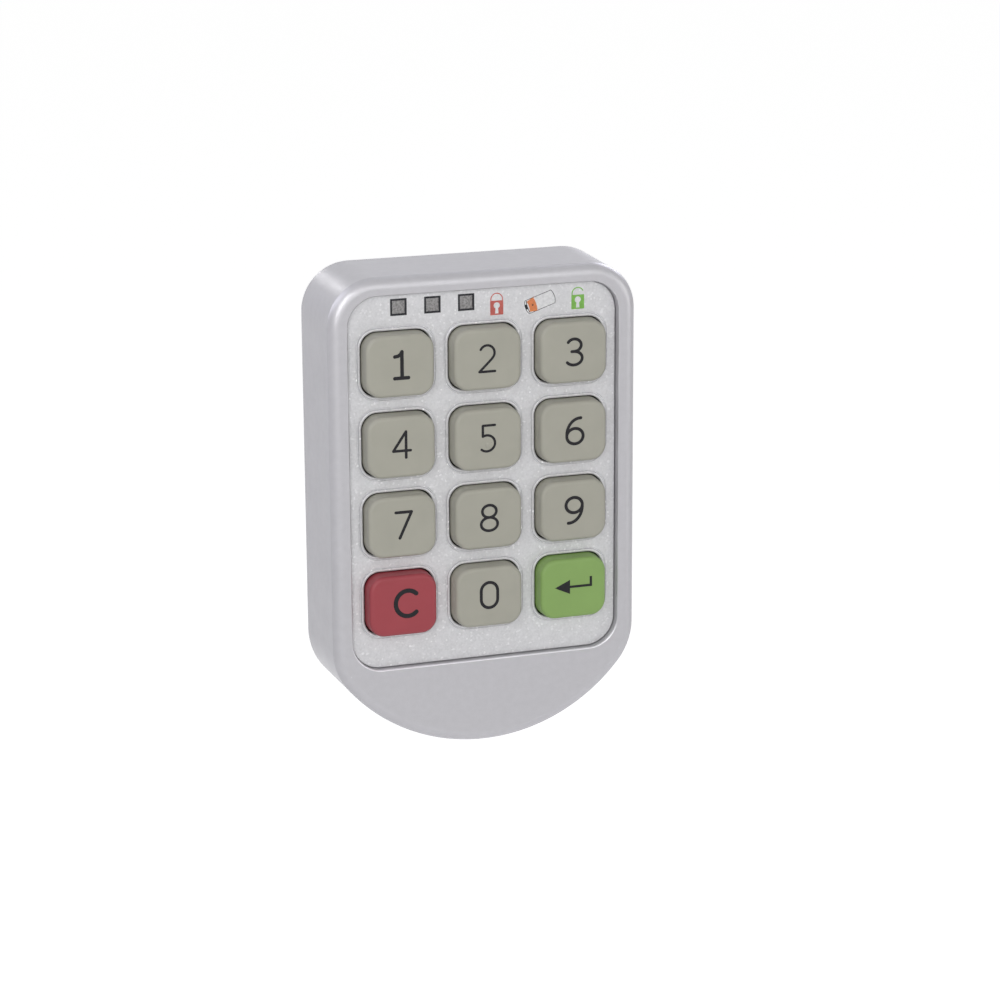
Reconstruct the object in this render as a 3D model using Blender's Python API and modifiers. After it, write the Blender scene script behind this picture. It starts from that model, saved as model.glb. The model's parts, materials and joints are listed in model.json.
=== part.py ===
"""Electronic cabinet lock with a twelve-key pad and a motor-driven cam.

Frame: the origin lies on the door face behind the housing, at mid-height and
on the centre line. +X is right, +Y points into the door, +Z is up, so the keys
face -Y. The barrel passes through the door below the origin.
"""
import math

import bmesh
import bpy
from mathutils import Matrix, Vector

# Shared fits
SEAT_GAP = 0.0003
CUT_OVERRUN = 0.0010
MERGE_DISTANCE = 0.00001

# Front housing
RIM_WIDTH = 0.00405
RIM_TOP_WIDTH = 0.0038
CHIN_HEIGHT = 0.0174
HOUSING_BACK_STEP = 0.0016
HOUSING_DRAFT = 0.0003
HOUSING_WALL = 0.0020
TOP_CORNER_RADIUS = 0.0095
BOTTOM_ARC_EXCESS = 0.0055
BOTTOM_CORNER_RADIUS = 0.0130
FRONT_EDGE_RADIUS = 0.0025
CAVITY_EDGE_RADIUS = 0.0006
WEB_THICKNESS = 0.0012

# Recess for the keypad label
RECESS_CORNER_RADIUS = 0.0060
RECESS_DEPTH = 0.0015
RECESS_EDGE_RADIUS = 0.0004

# Keypad label
LABEL_THICKNESS = 0.0003
LABEL_SIDE_BORDER = 0.0026
LABEL_TOP_BORDER = 0.00685
LABEL_FOOT_BORDER = 0.00675
COLLAR_WIDTH = 0.0007
COLLAR_RISE = 0.0002

# Keys
KEY_COLUMN_GAP = 0.0031
KEY_ROW_GAP = 0.0028
KEY_HOLE_HEIGHT = 0.0131
KEY_HOLE_RADIUS = 0.0032
KEY_RISE = 0.0017
KEY_TAPER = 0.00015
KEY_EDGE_RADIUS = 0.0006
KEY_TRAVEL = 0.0012
KEY_FLANGE_BORDER = 0.0006
KEY_FLANGE_THICKNESS = 0.0008
LOCATOR_DOT_DIAMETER = 0.0013
LOCATOR_DOT_RISE = 0.0002

# Rubber mat behind the keys
MAT_BORDER = 0.0008
MAT_CORNER_RADIUS = 0.0030

# Status windows and their lamps
WINDOW_SIZE = 0.0033
WINDOW_ROW_DROP = 0.0026
WINDOW_SIDE_SHIFT = 0.0007
WINDOW_PITCH = 0.0068
WINDOW_FLANGE_BORDER = 0.0005
WINDOW_FLANGE_THICKNESS = 0.0005
LAMP_WIDTH = 0.0020
LAMP_HEIGHT = 0.0013
LAMP_THICKNESS = 0.0010

# Circuit board
BOARD_THICKNESS = 0.0010
BOARD_SIDE_GAP = 0.0026
BOARD_TOP_GAP = 0.0013
BOARD_BOTTOM_GAP = 0.0143
BOARD_CORNER_RADIUS = 0.0050
BOARD_SCREW_BORDER = 0.0064
BOARD_POST_GAP = 0.00065
BOARD_POST_DIAMETER = 0.0044
BOARD_REST_DIAMETER = 0.0030
BOARD_REST_BORDER = 0.0034
BOARD_REST_DROP = 0.0033
CHIP_SIZE = 0.0070
CHIP_THICKNESS = 0.0010
CHIP_BORDER = 0.0089
CHIP_TRAY_GAP = 0.0042
BUZZER_DIAMETER = 0.0090
BUZZER_HEIGHT = 0.0040
BUZZER_BORDER = 0.0137
BUZZER_BELOW_BARREL = 0.0050

# Battery cells, tray and contacts
CELL_DIAMETER = 0.0104
CELL_LENGTH = 0.0445
CELL_NUB_DIAMETER = 0.0038
CELL_NUB_LENGTH = 0.0010
CELL_EDGE = 0.0005
CELL_GAP = 0.0003
CELL_COUNT = 4
TRAY_TOP_GAP = 0.0019
TRAY_SIDE_GAP = 0.0044
TRAY_WALL = 0.0008
TRAY_FLOOR = 0.0006
TRAY_RIB_HEIGHT = 0.0022
TRAY_CORNER_RADIUS = 0.0020
CONTACT_THICKNESS = 0.0004
CONTACT_BORDER = 0.0014
SPRING_LENGTH = 0.0018
SPRING_WIDE_DIAMETER = 0.0056
SPRING_NARROW_DIAMETER = 0.0030
SPRING_WIRE = 0.0005
SPRING_TURNS = 2.25

# Base plate and battery cover
BASE_THICKNESS = 0.0024
COVER_THICKNESS = 0.0012
COVER_LEDGE = 0.0010
COVER_CORNER_RADIUS = 0.0020
COVER_TAB_WIDTH = 0.0070
COVER_TAB_LENGTH = 0.0026
COVER_SCREW_DIAMETER = 0.0014
COVER_SCREW_HEAD = 0.0028
COVER_SCREW_HEAD_HEIGHT = 0.0006
BASE_SCREW_WALL_GAP = 0.0016
BASE_SCREW_TOP_DROP = 0.0148
BASE_SCREW_CRADLE_GAP = 0.0030
BASE_SCREW_DIAMETER = 0.0022
BASE_SCREW_HEAD = 0.0044
BASE_SCREW_HEAD_HEIGHT = 0.0010
BASE_SCREW_TIP_GAP = 0.00335
SCREW_BOSS_DIAMETER = 0.0046
BOARD_SCREW_DIAMETER = 0.0018
BOARD_SCREW_HEAD = 0.0038
BOARD_SCREW_HEAD_HEIGHT = 0.0011
BOARD_SCREW_LENGTH = 0.0038

# Lock barrel, spindle and cam
BARREL_TRAY_GAP = 0.0033
BARREL_DIAMETER = 0.0190
BARREL_FLAT_DEPTH = 0.00125
BARREL_END_MARGIN = 0.0006
BARREL_FLANGE_BAND = 0.0015
BARREL_FLANGE_THICKNESS = 0.0012
SPINDLE_DIAMETER = 0.0080
SPINDLE_COLLAR_DIAMETER = 0.0100
SPINDLE_COLLAR_THICKNESS = 0.0004
SPINDLE_SEAT_DIAMETER = 0.0056
SPINDLE_SEAT_FLAT = 0.0021
SPINDLE_FRONT_REACH = 0.0014
SPINDLE_SQUARE = 0.0055
DOOR_THICKNESS = 0.0150
WASHER_BAND = 0.0037
WASHER_THICKNESS = 0.0012
NUT_BAND = 0.0025
NUT_THICKNESS = 0.0046
NUT_CHAMFER = 0.0006
CAM_THICKNESS = 0.0030
CAM_WIDTH = 0.0190
CAM_TIP_WIDTH = 0.0140
CAM_REACH = 0.0420
CAM_EDGE_RADIUS = 0.0004
CAM_CRANK = 0.0015
CAM_CRANK_START = 0.0150
CAM_CRANK_RUN = 0.0030
CAM_WASHER_DIAMETER = 0.0110
CAM_WASHER_THICKNESS = 0.0010
CAM_BOLT_DIAMETER = 0.0034
CAM_BOLT_LENGTH = 0.0100
CAM_BOLT_HEAD_ACROSS_FLATS = 0.0080
CAM_BOLT_HEAD_HEIGHT = 0.0034

# Worm drive
WHEEL_TEETH = 24
GEAR_MODULE = 0.0006
WORM_PITCH_DIAMETER = 0.0048
WORM_CORE_DIAMETER = 0.0034
WORM_CREST_DIAMETER = 0.0060
WORM_THREAD_LENGTH = 0.0080
WORM_CORE_LENGTH = 0.0096
WORM_SHAFT_DIAMETER = 0.0020
WHEEL_THICKNESS = 0.0036
GEARBOX_OFFSET = 0.0103
GEARBOX_LENGTH = 0.0080
MOTOR_SIDE_GAP = 0.0009
MOTOR_DIAMETER = 0.0100
MOTOR_THICKNESS = 0.0086
MOTOR_CAP_DIAMETER = 0.0040
MOTOR_CAP_LENGTH = 0.0006
CRADLE_THICKNESS = 0.0010
CRADLE_HEIGHT = 0.0050
BEARING_OFFSET = 0.0094
BEARING_THICKNESS = 0.0022
BEARING_WIDTH = 0.0060
BEARING_CROWN = 0.0022
SWITCH_WIDTH = 0.0058
SWITCH_HEIGHT = 0.0090
SWITCH_THICKNESS = 0.0055
SWITCH_FLANGE_GAP = 0.0033
SWITCH_BELOW_BARREL = 0.0015

# Turned and rounded detail
ROUND_STEPS = 28
SMALL_ROUND_STEPS = 12
CORNER_STEPS = 4
OUTLINE_CORNER_STEPS = 7
OUTLINE_ARC_STEPS = 12
EDGE_STEPS = 4
CELL_STEPS = 16
THREAD_STEPS = 12
SPRING_STEPS = 8
SMOOTH_ANGLE = math.radians(35)

# Places along Y, from the door face forward
BASE_FRONT = -BASE_THICKNESS
COVER_FRONT = -COVER_THICKNESS
CELL_AXIS_Y = COVER_FRONT - SEAT_GAP - CELL_DIAMETER / 2
TRAY_FLOOR_BACK = CELL_AXIS_Y - CELL_DIAMETER / 2 - SEAT_GAP
TRAY_FRONT = TRAY_FLOOR_BACK - TRAY_FLOOR
TRAY_BACK = BASE_FRONT - SEAT_GAP
BOARD_BACK = TRAY_FRONT - SEAT_GAP
BOARD_FRONT = BOARD_BACK - BOARD_THICKNESS
MAT_BACK = BOARD_FRONT - SEAT_GAP
MAT_FRONT = MAT_BACK - KEY_TRAVEL - KEY_FLANGE_THICKNESS
WEB_BACK = MAT_FRONT - SEAT_GAP
RECESS_FLOOR = WEB_BACK - WEB_THICKNESS
LABEL_BACK = RECESS_FLOOR - SEAT_GAP
LABEL_FRONT = LABEL_BACK - LABEL_THICKNESS
RIM_PLANE = LABEL_FRONT - RECESS_DEPTH
HOUSING_BACK = -HOUSING_BACK_STEP
KEY_TOP = RIM_PLANE - KEY_RISE
BOSS_FRONT = BOARD_BACK + SEAT_GAP
PILOT_FRONT = BOSS_FRONT + SEAT_GAP
BASE_SCREW_SEAT = -BASE_SCREW_HEAD_HEIGHT - SEAT_GAP / 2
BASE_SCREW_LENGTH = BASE_SCREW_SEAT - PILOT_FRONT - BASE_SCREW_TIP_GAP

# Places along Y, from the door face backward
WASHER_FRONT = DOOR_THICKNESS + SEAT_GAP
WASHER_BACK = WASHER_FRONT + WASHER_THICKNESS
NUT_FRONT = WASHER_BACK + SEAT_GAP
NUT_BACK = NUT_FRONT + NUT_THICKNESS
BARREL_LENGTH = NUT_BACK + BARREL_END_MARGIN

# Width, from the cells that lie across inside to the three keys of a row
CONTACT_SPACE = 2 * SEAT_GAP + CONTACT_THICKNESS
TRAY_INSIDE_LENGTH = CELL_LENGTH + 2 * CONTACT_SPACE + SPRING_LENGTH + SEAT_GAP
TRAY_HALF_LENGTH = TRAY_INSIDE_LENGTH / 2 + TRAY_WALL
HOUSING_WIDTH = 2 * (TRAY_HALF_LENGTH + TRAY_SIDE_GAP + HOUSING_WALL)
RECESS_WIDTH = HOUSING_WIDTH - 2 * RIM_WIDTH
KEY_HOLE_WIDTH = (RECESS_WIDTH - 2 * LABEL_SIDE_BORDER - 2 * KEY_COLUMN_GAP) / 3
KEY_COLUMN_PITCH = KEY_HOLE_WIDTH + KEY_COLUMN_GAP

# Height, from the four rows of keys outwards
KEY_ROW_PITCH = KEY_HOLE_HEIGHT + KEY_ROW_GAP
RECESS_HEIGHT = LABEL_TOP_BORDER + 3 * KEY_ROW_PITCH + KEY_HOLE_HEIGHT + LABEL_FOOT_BORDER
HOUSING_HEIGHT = RIM_TOP_WIDTH + RECESS_HEIGHT + CHIN_HEIGHT
BOTTOM_ARC_RADIUS = HOUSING_WIDTH / 2 + BOTTOM_ARC_EXCESS

# Places across the face
HOUSING_TOP = HOUSING_HEIGHT / 2
RECESS_TOP = HOUSING_TOP - RIM_TOP_WIDTH
RECESS_MIDDLE = RECESS_TOP - RECESS_HEIGHT / 2
WINDOW_ROW = RECESS_TOP - WINDOW_ROW_DROP
KEY_COLUMNS = [-KEY_COLUMN_PITCH, 0.0, KEY_COLUMN_PITCH]
FIRST_WINDOW = KEY_COLUMNS[0] + WINDOW_SIDE_SHIFT
WINDOW_COLUMNS = [FIRST_WINDOW + index * WINDOW_PITCH for index in range(3)]
FIRST_KEY_ROW = RECESS_TOP - LABEL_TOP_BORDER - KEY_HOLE_HEIGHT / 2
KEY_ROWS = [FIRST_KEY_ROW - index * KEY_ROW_PITCH for index in range(4)]
KEY_NAMES = (
    ("key_1", "key_2", "key_3"),
    ("key_4", "key_5", "key_6"),
    ("key_7", "key_8", "key_9"),
    ("key_clear", "key_0", "key_enter"),
)
CELL_PITCH = CELL_DIAMETER + CELL_GAP
CONTACT_WIDTH = CELL_DIAMETER - 2 * CONTACT_BORDER
TRAY_TOP = HOUSING_TOP - HOUSING_WALL - TRAY_TOP_GAP
TOP_CELL_HEIGHT = TRAY_TOP - TRAY_WALL - SEAT_GAP - CELL_DIAMETER / 2
CELL_HEIGHTS = [TOP_CELL_HEIGHT - index * CELL_PITCH for index in range(CELL_COUNT)]
TRAY_BOTTOM = CELL_HEIGHTS[-1] - CELL_DIAMETER / 2 - SEAT_GAP - TRAY_WALL
CELL_STACK_MIDDLE = (CELL_HEIGHTS[0] + CELL_HEIGHTS[-1]) / 2
CELL_STACK_HEIGHT = CELL_HEIGHTS[0] - CELL_HEIGHTS[-1] + CELL_DIAMETER
CELL_SHIFT = (SPRING_LENGTH + SEAT_GAP) / 2
KEY_WELL_BORDER = KEY_FLANGE_BORDER + SEAT_GAP
MAT_BOTTOM = KEY_ROWS[-1] - KEY_HOLE_HEIGHT / 2 - KEY_WELL_BORDER - MAT_BORDER
BOARD_SCREW_HEIGHT = MAT_BOTTOM - BOARD_POST_GAP - BOARD_POST_DIAMETER / 2
BOARD_TOP = HOUSING_TOP - HOUSING_WALL - BOARD_TOP_GAP
BOARD_BOTTOM = -HOUSING_TOP + HOUSING_WALL + BOARD_BOTTOM_GAP
BOARD_HALF_WIDTH = HOUSING_WIDTH / 2 - HOUSING_WALL - BOARD_SIDE_GAP
BOARD_SCREW_SIDE = BOARD_HALF_WIDTH - BOARD_SCREW_BORDER
BARREL_ACROSS_FLATS = BARREL_DIAMETER - 2 * BARREL_FLAT_DEPTH
BARREL_FLANGE_DIAMETER = BARREL_DIAMETER + 2 * BARREL_FLANGE_BAND
NUT_ACROSS_FLATS = BARREL_DIAMETER + 2 * NUT_BAND
SWITCH_SIDE = BARREL_FLANGE_DIAMETER / 2 + SWITCH_FLANGE_GAP + SWITCH_WIDTH / 2

# Worm drive geometry
WHEEL_PITCH_RADIUS = WHEEL_TEETH * GEAR_MODULE / 2
TOOTH_PITCH = math.pi * GEAR_MODULE
CENTRE_DISTANCE = WHEEL_PITCH_RADIUS + WORM_PITCH_DIAMETER / 2
WHEEL_TIP_RADIUS = CENTRE_DISTANCE - WORM_CORE_DIAMETER / 2 - SEAT_GAP
WHEEL_ROOT_RADIUS = CENTRE_DISTANCE - WORM_CREST_DIAMETER / 2 - SEAT_GAP
BARREL_FLANGE_BACK = BASE_FRONT - SEAT_GAP
BARREL_FLANGE_FRONT = BARREL_FLANGE_BACK - BARREL_FLANGE_THICKNESS
WORM_AXIS_Y = BARREL_FLANGE_FRONT - SEAT_GAP - WORM_CREST_DIAMETER / 2
MOTOR_LEFT = MOTOR_SIDE_GAP + HOUSING_WALL - HOUSING_WIDTH / 2
MOTOR_RIGHT = -GEARBOX_OFFSET - GEARBOX_LENGTH - SEAT_GAP
CRADLE_HALF_WIDTH = MOTOR_DIAMETER / 2 + SEAT_GAP + CRADLE_THICKNESS
WORM_AXIS_Z = TRAY_BOTTOM - BARREL_TRAY_GAP - CRADLE_HALF_WIDTH
BARREL_AXIS_Z = WORM_AXIS_Z - CENTRE_DISTANCE
WORM_LEAD_SLOPE = TOOTH_PITCH / (math.pi * WORM_PITCH_DIAMETER)

# Screws through the base, beside the cells and below the motor's cradle
BASE_SCREW_SIDE = HOUSING_WIDTH / 2 - HOUSING_WALL - BASE_SCREW_WALL_GAP
BASE_SCREW_TOP = HOUSING_TOP - BASE_SCREW_TOP_DROP
BASE_SCREW_REACH = CRADLE_HALF_WIDTH + BASE_SCREW_CRADLE_GAP + SCREW_BOSS_DIAMETER / 2
BASE_SCREW_HEIGHTS = (BASE_SCREW_TOP, WORM_AXIS_Z - BASE_SCREW_REACH)

# Axes of turned pieces, whose profiles stand along their own Z
ALONG_X = Matrix.Rotation(math.radians(90), 4, "Y")
ALONG_Y = Matrix.Rotation(math.radians(-90), 4, "X")
UPRIGHT = Matrix.Identity(4)


# Scene, collections and materials

def clear_scene():
    for item in list(bpy.data.objects):
        bpy.data.objects.remove(item, do_unlink=True)


def make_collection(name):
    collection = bpy.data.collections.new(name)
    bpy.context.scene.collection.children.link(collection)
    return collection


clear_scene()
PARTS = make_collection("electronic_cabinet_lock")
CUTTERS = make_collection("cutters")


def finish(name, colour, roughness, metallic=0.0):
    material = bpy.data.materials.new(name)
    material.use_nodes = True
    shader = material.node_tree.nodes["Principled BSDF"]
    shader.inputs["Base Color"].default_value = (*colour, 1.0)
    shader.inputs["Roughness"].default_value = roughness
    shader.inputs["Metallic"].default_value = metallic
    return material


HOUSING_GREY = finish("housing_grey", (0.47, 0.46, 0.48), 0.50)
LABEL_SILVER = finish("label_silver", (0.55, 0.54, 0.56), 0.45)
KEY_BEIGE = finish("key_beige", (0.37, 0.36, 0.29), 0.55)
KEY_RED = finish("key_red", (0.33, 0.08, 0.09), 0.55)
KEY_GREEN = finish("key_green", (0.25, 0.37, 0.14), 0.55)
RUBBER_GREY = finish("rubber_grey", (0.20, 0.20, 0.19), 0.85)
LENS_GREY = finish("lens_grey", (0.22, 0.22, 0.23), 0.30)
LAMP_WHITE = finish("lamp_white", (0.75, 0.74, 0.68), 0.35)
BOARD_GREEN = finish("board_green", (0.03, 0.14, 0.06), 0.45)
CHIP_BLACK = finish("chip_black", (0.02, 0.02, 0.02), 0.45)
PLASTIC_DARK = finish("plastic_dark", (0.05, 0.05, 0.055), 0.60)
CELL_JACKET = finish("cell_jacket", (0.08, 0.08, 0.09), 0.35, 0.3)
NICKEL = finish("nickel", (0.66, 0.64, 0.60), 0.28, 1.0)
STEEL = finish("steel", (0.56, 0.56, 0.57), 0.32, 1.0)
BRASS = finish("brass", (0.72, 0.52, 0.24), 0.35, 1.0)
ACETAL_WHITE = finish("acetal_white", (0.72, 0.71, 0.66), 0.50)


# Objects

def add_object(name, mesh, material, matrix=UPRIGHT):
    item = bpy.data.objects.new(name, mesh)
    item.matrix_world = matrix
    PARTS.objects.link(item)
    mesh.materials.append(material)
    mesh.shade_smooth()
    mesh.set_sharp_from_angle(angle=SMOOTH_ANGLE)
    return item


def add_cutter(name, mesh, matrix=UPRIGHT):
    item = bpy.data.objects.new(name, mesh)
    item.matrix_world = matrix
    item.hide_render = True
    item.display_type = "WIRE"
    CUTTERS.objects.link(item)
    return item


def combine(target, tool, operation):
    modifier = target.modifiers.new(tool.name, "BOOLEAN")
    modifier.operation = operation
    modifier.object = tool
    modifier.solver = "EXACT"
    return target


def cut(target, tool):
    return combine(target, tool, "DIFFERENCE")


def fuse(target, tool):
    return combine(target, tool, "UNION")


def place(x, y, z, turn=UPRIGHT):
    return Matrix.Translation((x, y, z)) @ turn


# Meshes

def mesh_of(name, bm):
    bmesh.ops.recalc_face_normals(bm, faces=bm.faces)
    mesh = bpy.data.meshes.new(name)
    bm.to_mesh(mesh)
    bm.free()
    return mesh


def add_block(bm, low, high, corner_radius=0.0, corner_axis=1, steps=CORNER_STEPS):
    """A box from its low to its high corner, its edges along one axis rounded."""
    low = Vector(low)
    high = Vector(high)
    size = high - low
    matrix = Matrix.Translation((low + high) / 2) @ Matrix.Diagonal((*size, 1.0))
    verts = bmesh.ops.create_cube(bm, size=1.0, matrix=matrix)["verts"]
    if corner_radius <= 0:
        return verts
    edges = []
    for edge in {edge for vert in verts for edge in vert.link_edges}:
        run = edge.verts[1].co - edge.verts[0].co
        if abs(run[corner_axis]) > run.length / 2:
            edges.append(edge)
    result = bmesh.ops.bevel(
        bm, geom=edges, offset=corner_radius, segments=steps, affect="EDGES", profile=0.5)
    return result["verts"]


def add_cylinder(bm, diameter, start, end, matrix, steps=SMALL_ROUND_STEPS):
    """A capped cylinder from start to end along the matrix's own Z."""
    middle = Matrix.Translation((0, 0, (start + end) / 2))
    return bmesh.ops.create_cone(
        bm, cap_ends=True, segments=steps, radius1=diameter / 2, radius2=diameter / 2,
        depth=abs(end - start), matrix=matrix @ middle)["verts"]


def block_mesh(name, low, high, corner_radius=0.0, corner_axis=1):
    bm = bmesh.new()
    add_block(bm, low, high, corner_radius, corner_axis)
    return mesh_of(name, bm)


def cylinder_mesh(name, diameter, start, end, steps=SMALL_ROUND_STEPS):
    bm = bmesh.new()
    add_cylinder(bm, diameter, start, end, UPRIGHT, steps)
    return mesh_of(name, bm)


def face_block(bm, width, height, centre, front, back, corner_radius):
    """A block given by its size across the face and its front and back planes."""
    low = (centre[0] - width / 2, front, centre[1] - height / 2)
    high = (centre[0] + width / 2, back, centre[1] + height / 2)
    return add_block(bm, low, high, corner_radius)


def arc(centre, radius, start, end, steps):
    angles = [start + (end - start) * index / steps for index in range(steps + 1)]
    return [(centre[0] + radius * math.cos(a), centre[1] + radius * math.sin(a)) for a in angles]


def loft(bm, sections):
    """A closed solid through sections that are lists of points of one count."""
    rings = [[bm.verts.new(point) for point in section] for section in sections]
    count = len(rings[0])
    for near, far in zip(rings, rings[1:]):
        for index in range(count):
            after = (index + 1) % count
            bm.faces.new((near[index], near[after], far[after], far[index]))
    bm.faces.new(rings[0])
    bm.faces.new(rings[-1])


def turned(name, profile, material, matrix, steps=ROUND_STEPS):
    """A turned piece from (radius, height) points, top to bottom on the outer side."""
    mesh = bpy.data.meshes.new(name)
    points = [(radius, 0.0, height) for radius, height in profile]
    edges = [(index, index + 1) for index in range(len(points) - 1)]
    mesh.from_pydata(points, edges, [])
    item = bpy.data.objects.new(name, mesh)
    item.matrix_world = matrix
    PARTS.objects.link(item)
    mesh.materials.append(material)
    screw = item.modifiers.new("turn", "SCREW")
    screw.axis = "Z"
    screw.angle = math.tau
    screw.steps = steps
    screw.render_steps = steps
    screw.use_smooth_shade = True
    screw.use_merge_vertices = True
    screw.merge_threshold = MERGE_DISTANCE
    return item


def turned_ring(name, outer, inner, bottom, top, material, matrix, steps=ROUND_STEPS):
    """A flat ring: its section is a closed loop clear of the axis."""
    item = turned(name, [], material, matrix, steps)
    corners = [
        (inner / 2, 0.0, top),
        (outer / 2, 0.0, top),
        (outer / 2, 0.0, bottom),
        (inner / 2, 0.0, bottom),
    ]
    item.data.from_pydata(corners, [(0, 1), (1, 2), (2, 3), (3, 0)], [])
    return item


# Front housing

def housing_outline(inset):
    """Points (x, z) of the housing's outline, drawn in by the inset."""
    half_width = HOUSING_WIDTH / 2 - inset
    top_radius = TOP_CORNER_RADIUS - inset
    top_centre = HOUSING_TOP - TOP_CORNER_RADIUS
    arc_centre = BOTTOM_ARC_RADIUS - HOUSING_TOP
    side = HOUSING_WIDTH / 2 - BOTTOM_CORNER_RADIUS
    spread = BOTTOM_ARC_RADIUS - BOTTOM_CORNER_RADIUS
    meet = -math.acos(side / spread)
    drop = arc_centre + spread * math.sin(meet)
    corner_radius = BOTTOM_CORNER_RADIUS - inset
    quarter = math.pi / 2
    right = arc((half_width - top_radius, top_centre), top_radius, quarter, 0, OUTLINE_CORNER_STEPS)
    right += arc((side, drop), corner_radius, 0, meet, OUTLINE_CORNER_STEPS)
    bottom = arc((0, arc_centre), BOTTOM_ARC_RADIUS - inset, meet, -math.pi - meet, OUTLINE_ARC_STEPS)
    left = [(-x, z) for x, z in reversed(right)]
    return right + bottom[1:-1] + left


def outline_section(inset, y):
    return [(x, y, z) for x, z in housing_outline(inset)]


def outline_mesh(name, back_inset, front_inset, back, front, edge_radius=0.0):
    """A solid of the housing's outline, its front edge turned in by a quarter round."""
    sections = [outline_section(back_inset, back)]
    if edge_radius > 0:
        for index in range(EDGE_STEPS + 1):
            turn = math.pi / 2 * index / EDGE_STEPS
            inset = front_inset + edge_radius * (1 - math.cos(turn))
            sections.append(outline_section(inset, front + edge_radius * (1 - math.sin(turn))))
    else:
        sections.append(outline_section(front_inset, front))
    bm = bmesh.new()
    loft(bm, sections)
    return mesh_of(name, bm)


def key_openings(name, border, front, back):
    """Twelve rounded blocks on the key grid, wider than the holes by the border."""
    bm = bmesh.new()
    for height in KEY_ROWS:
        for side in KEY_COLUMNS:
            face_block(
                bm, KEY_HOLE_WIDTH + 2 * border, KEY_HOLE_HEIGHT + 2 * border, (side, height),
                front, back, KEY_HOLE_RADIUS + border)
    return mesh_of(name, bm)


def window_openings(name, front, back):
    bm = bmesh.new()
    for side in WINDOW_COLUMNS:
        face_block(bm, WINDOW_SIZE, WINDOW_SIZE, (side, WINDOW_ROW), front, back, 0.0)
    return mesh_of(name, bm)


def recess_cutter():
    """The label's recess, with a small round where its walls meet the rim."""
    levels = [(RECESS_EDGE_RADIUS, RIM_PLANE - CUT_OVERRUN)]
    for index in range(CORNER_STEPS):
        turn = math.pi / 2 * index / (CORNER_STEPS - 1)
        spread = RECESS_EDGE_RADIUS * (1 - math.sin(turn))
        levels.append((spread, RIM_PLANE + RECESS_EDGE_RADIUS * (1 - math.cos(turn))))
    levels.append((0, RECESS_FLOOR))
    bm = bmesh.new()
    loft(bm, [
        rounded_section(
            RECESS_WIDTH + 2 * spread, RECESS_HEIGHT + 2 * spread, RECESS_CORNER_RADIUS + spread,
            RECESS_MIDDLE, depth)
        for spread, depth in levels])
    return add_cutter("recess_cutter", mesh_of("recess_cutter", bm))


def rounded_section(width, height, radius, middle, y):
    """A rounded rectangle across the face at one depth."""
    points = []
    corners = ((1, 1, 0), (-1, 1, 1), (-1, -1, 2), (1, -1, 3))
    for side, rise, quadrant in corners:
        centre = (side * (width / 2 - radius), middle + rise * (height / 2 - radius))
        start = quadrant * math.pi / 2
        points += arc(centre, radius, start, start + math.pi / 2, OUTLINE_CORNER_STEPS)
    return [(x, y, z) for x, z in points]


def screw_places():
    return [(side * BASE_SCREW_SIDE, height) for height in BASE_SCREW_HEIGHTS for side in (-1, 1)]


def board_screw_places():
    return [(side * BOARD_SCREW_SIDE, BOARD_SCREW_HEIGHT) for side in (-1, 1)]


def pins(name, places, diameter, start, end, steps=SMALL_ROUND_STEPS):
    """Cylinders along Y at (x, z) places."""
    bm = bmesh.new()
    for x, z in places:
        add_cylinder(bm, diameter, start, end, place(x, 0, z, ALONG_Y), steps)
    return mesh_of(name, bm)


def make_housing():
    housing = add_object(
        "front_housing",
        outline_mesh("front_housing", 0, HOUSING_DRAFT, HOUSING_BACK, RIM_PLANE, FRONT_EDGE_RADIUS),
        HOUSING_GREY)
    cavity = outline_mesh(
        "cavity_cutter", HOUSING_WALL, HOUSING_WALL, HOUSING_BACK + CUT_OVERRUN, WEB_BACK,
        CAVITY_EDGE_RADIUS)
    cut(housing, add_cutter("cavity_cutter", cavity))
    boss_end = BASE_FRONT - SEAT_GAP
    bosses = pins("bosses", screw_places(), SCREW_BOSS_DIAMETER, BOSS_FRONT, boss_end)
    fuse(housing, add_cutter("boss_stock", bosses))
    post_start = WEB_BACK - WEB_THICKNESS / 2
    posts = pins("posts", board_screw_places(), BOARD_POST_DIAMETER, post_start, MAT_BACK)
    fuse(housing, add_cutter("post_stock", posts))
    rest_side = BOARD_HALF_WIDTH - BOARD_REST_BORDER
    rest_places = [(side * rest_side, BOARD_TOP - BOARD_REST_DROP) for side in (-1, 1)]
    rests = pins("rests", rest_places, BOARD_REST_DIAMETER, post_start, MAT_BACK)
    fuse(housing, add_cutter("rest_stock", rests))
    cut(housing, recess_cutter())
    keys = key_openings("key_hole_cutter", 0, RECESS_FLOOR - CUT_OVERRUN, WEB_BACK + CUT_OVERRUN)
    cut(housing, add_cutter("key_hole_cutter", keys))
    windows = window_openings("window_cutter", RECESS_FLOOR - CUT_OVERRUN, WEB_BACK + CUT_OVERRUN)
    cut(housing, add_cutter("window_cutter", windows))
    pilots = pins(
        "pilot_cutter", screw_places(), BASE_SCREW_DIAMETER + 2 * SEAT_GAP,
        PILOT_FRONT, boss_end + CUT_OVERRUN)
    cut(housing, add_cutter("pilot_cutter", pilots))
    board_pilots = pins(
        "board_pilot_cutter", board_screw_places(), BOARD_SCREW_DIAMETER + 2 * SEAT_GAP,
        WEB_BACK - WEB_THICKNESS / 2, MAT_BACK + CUT_OVERRUN)
    cut(housing, add_cutter("board_pilot_cutter", board_pilots))


# Keypad label with its collars round the key holes

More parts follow.
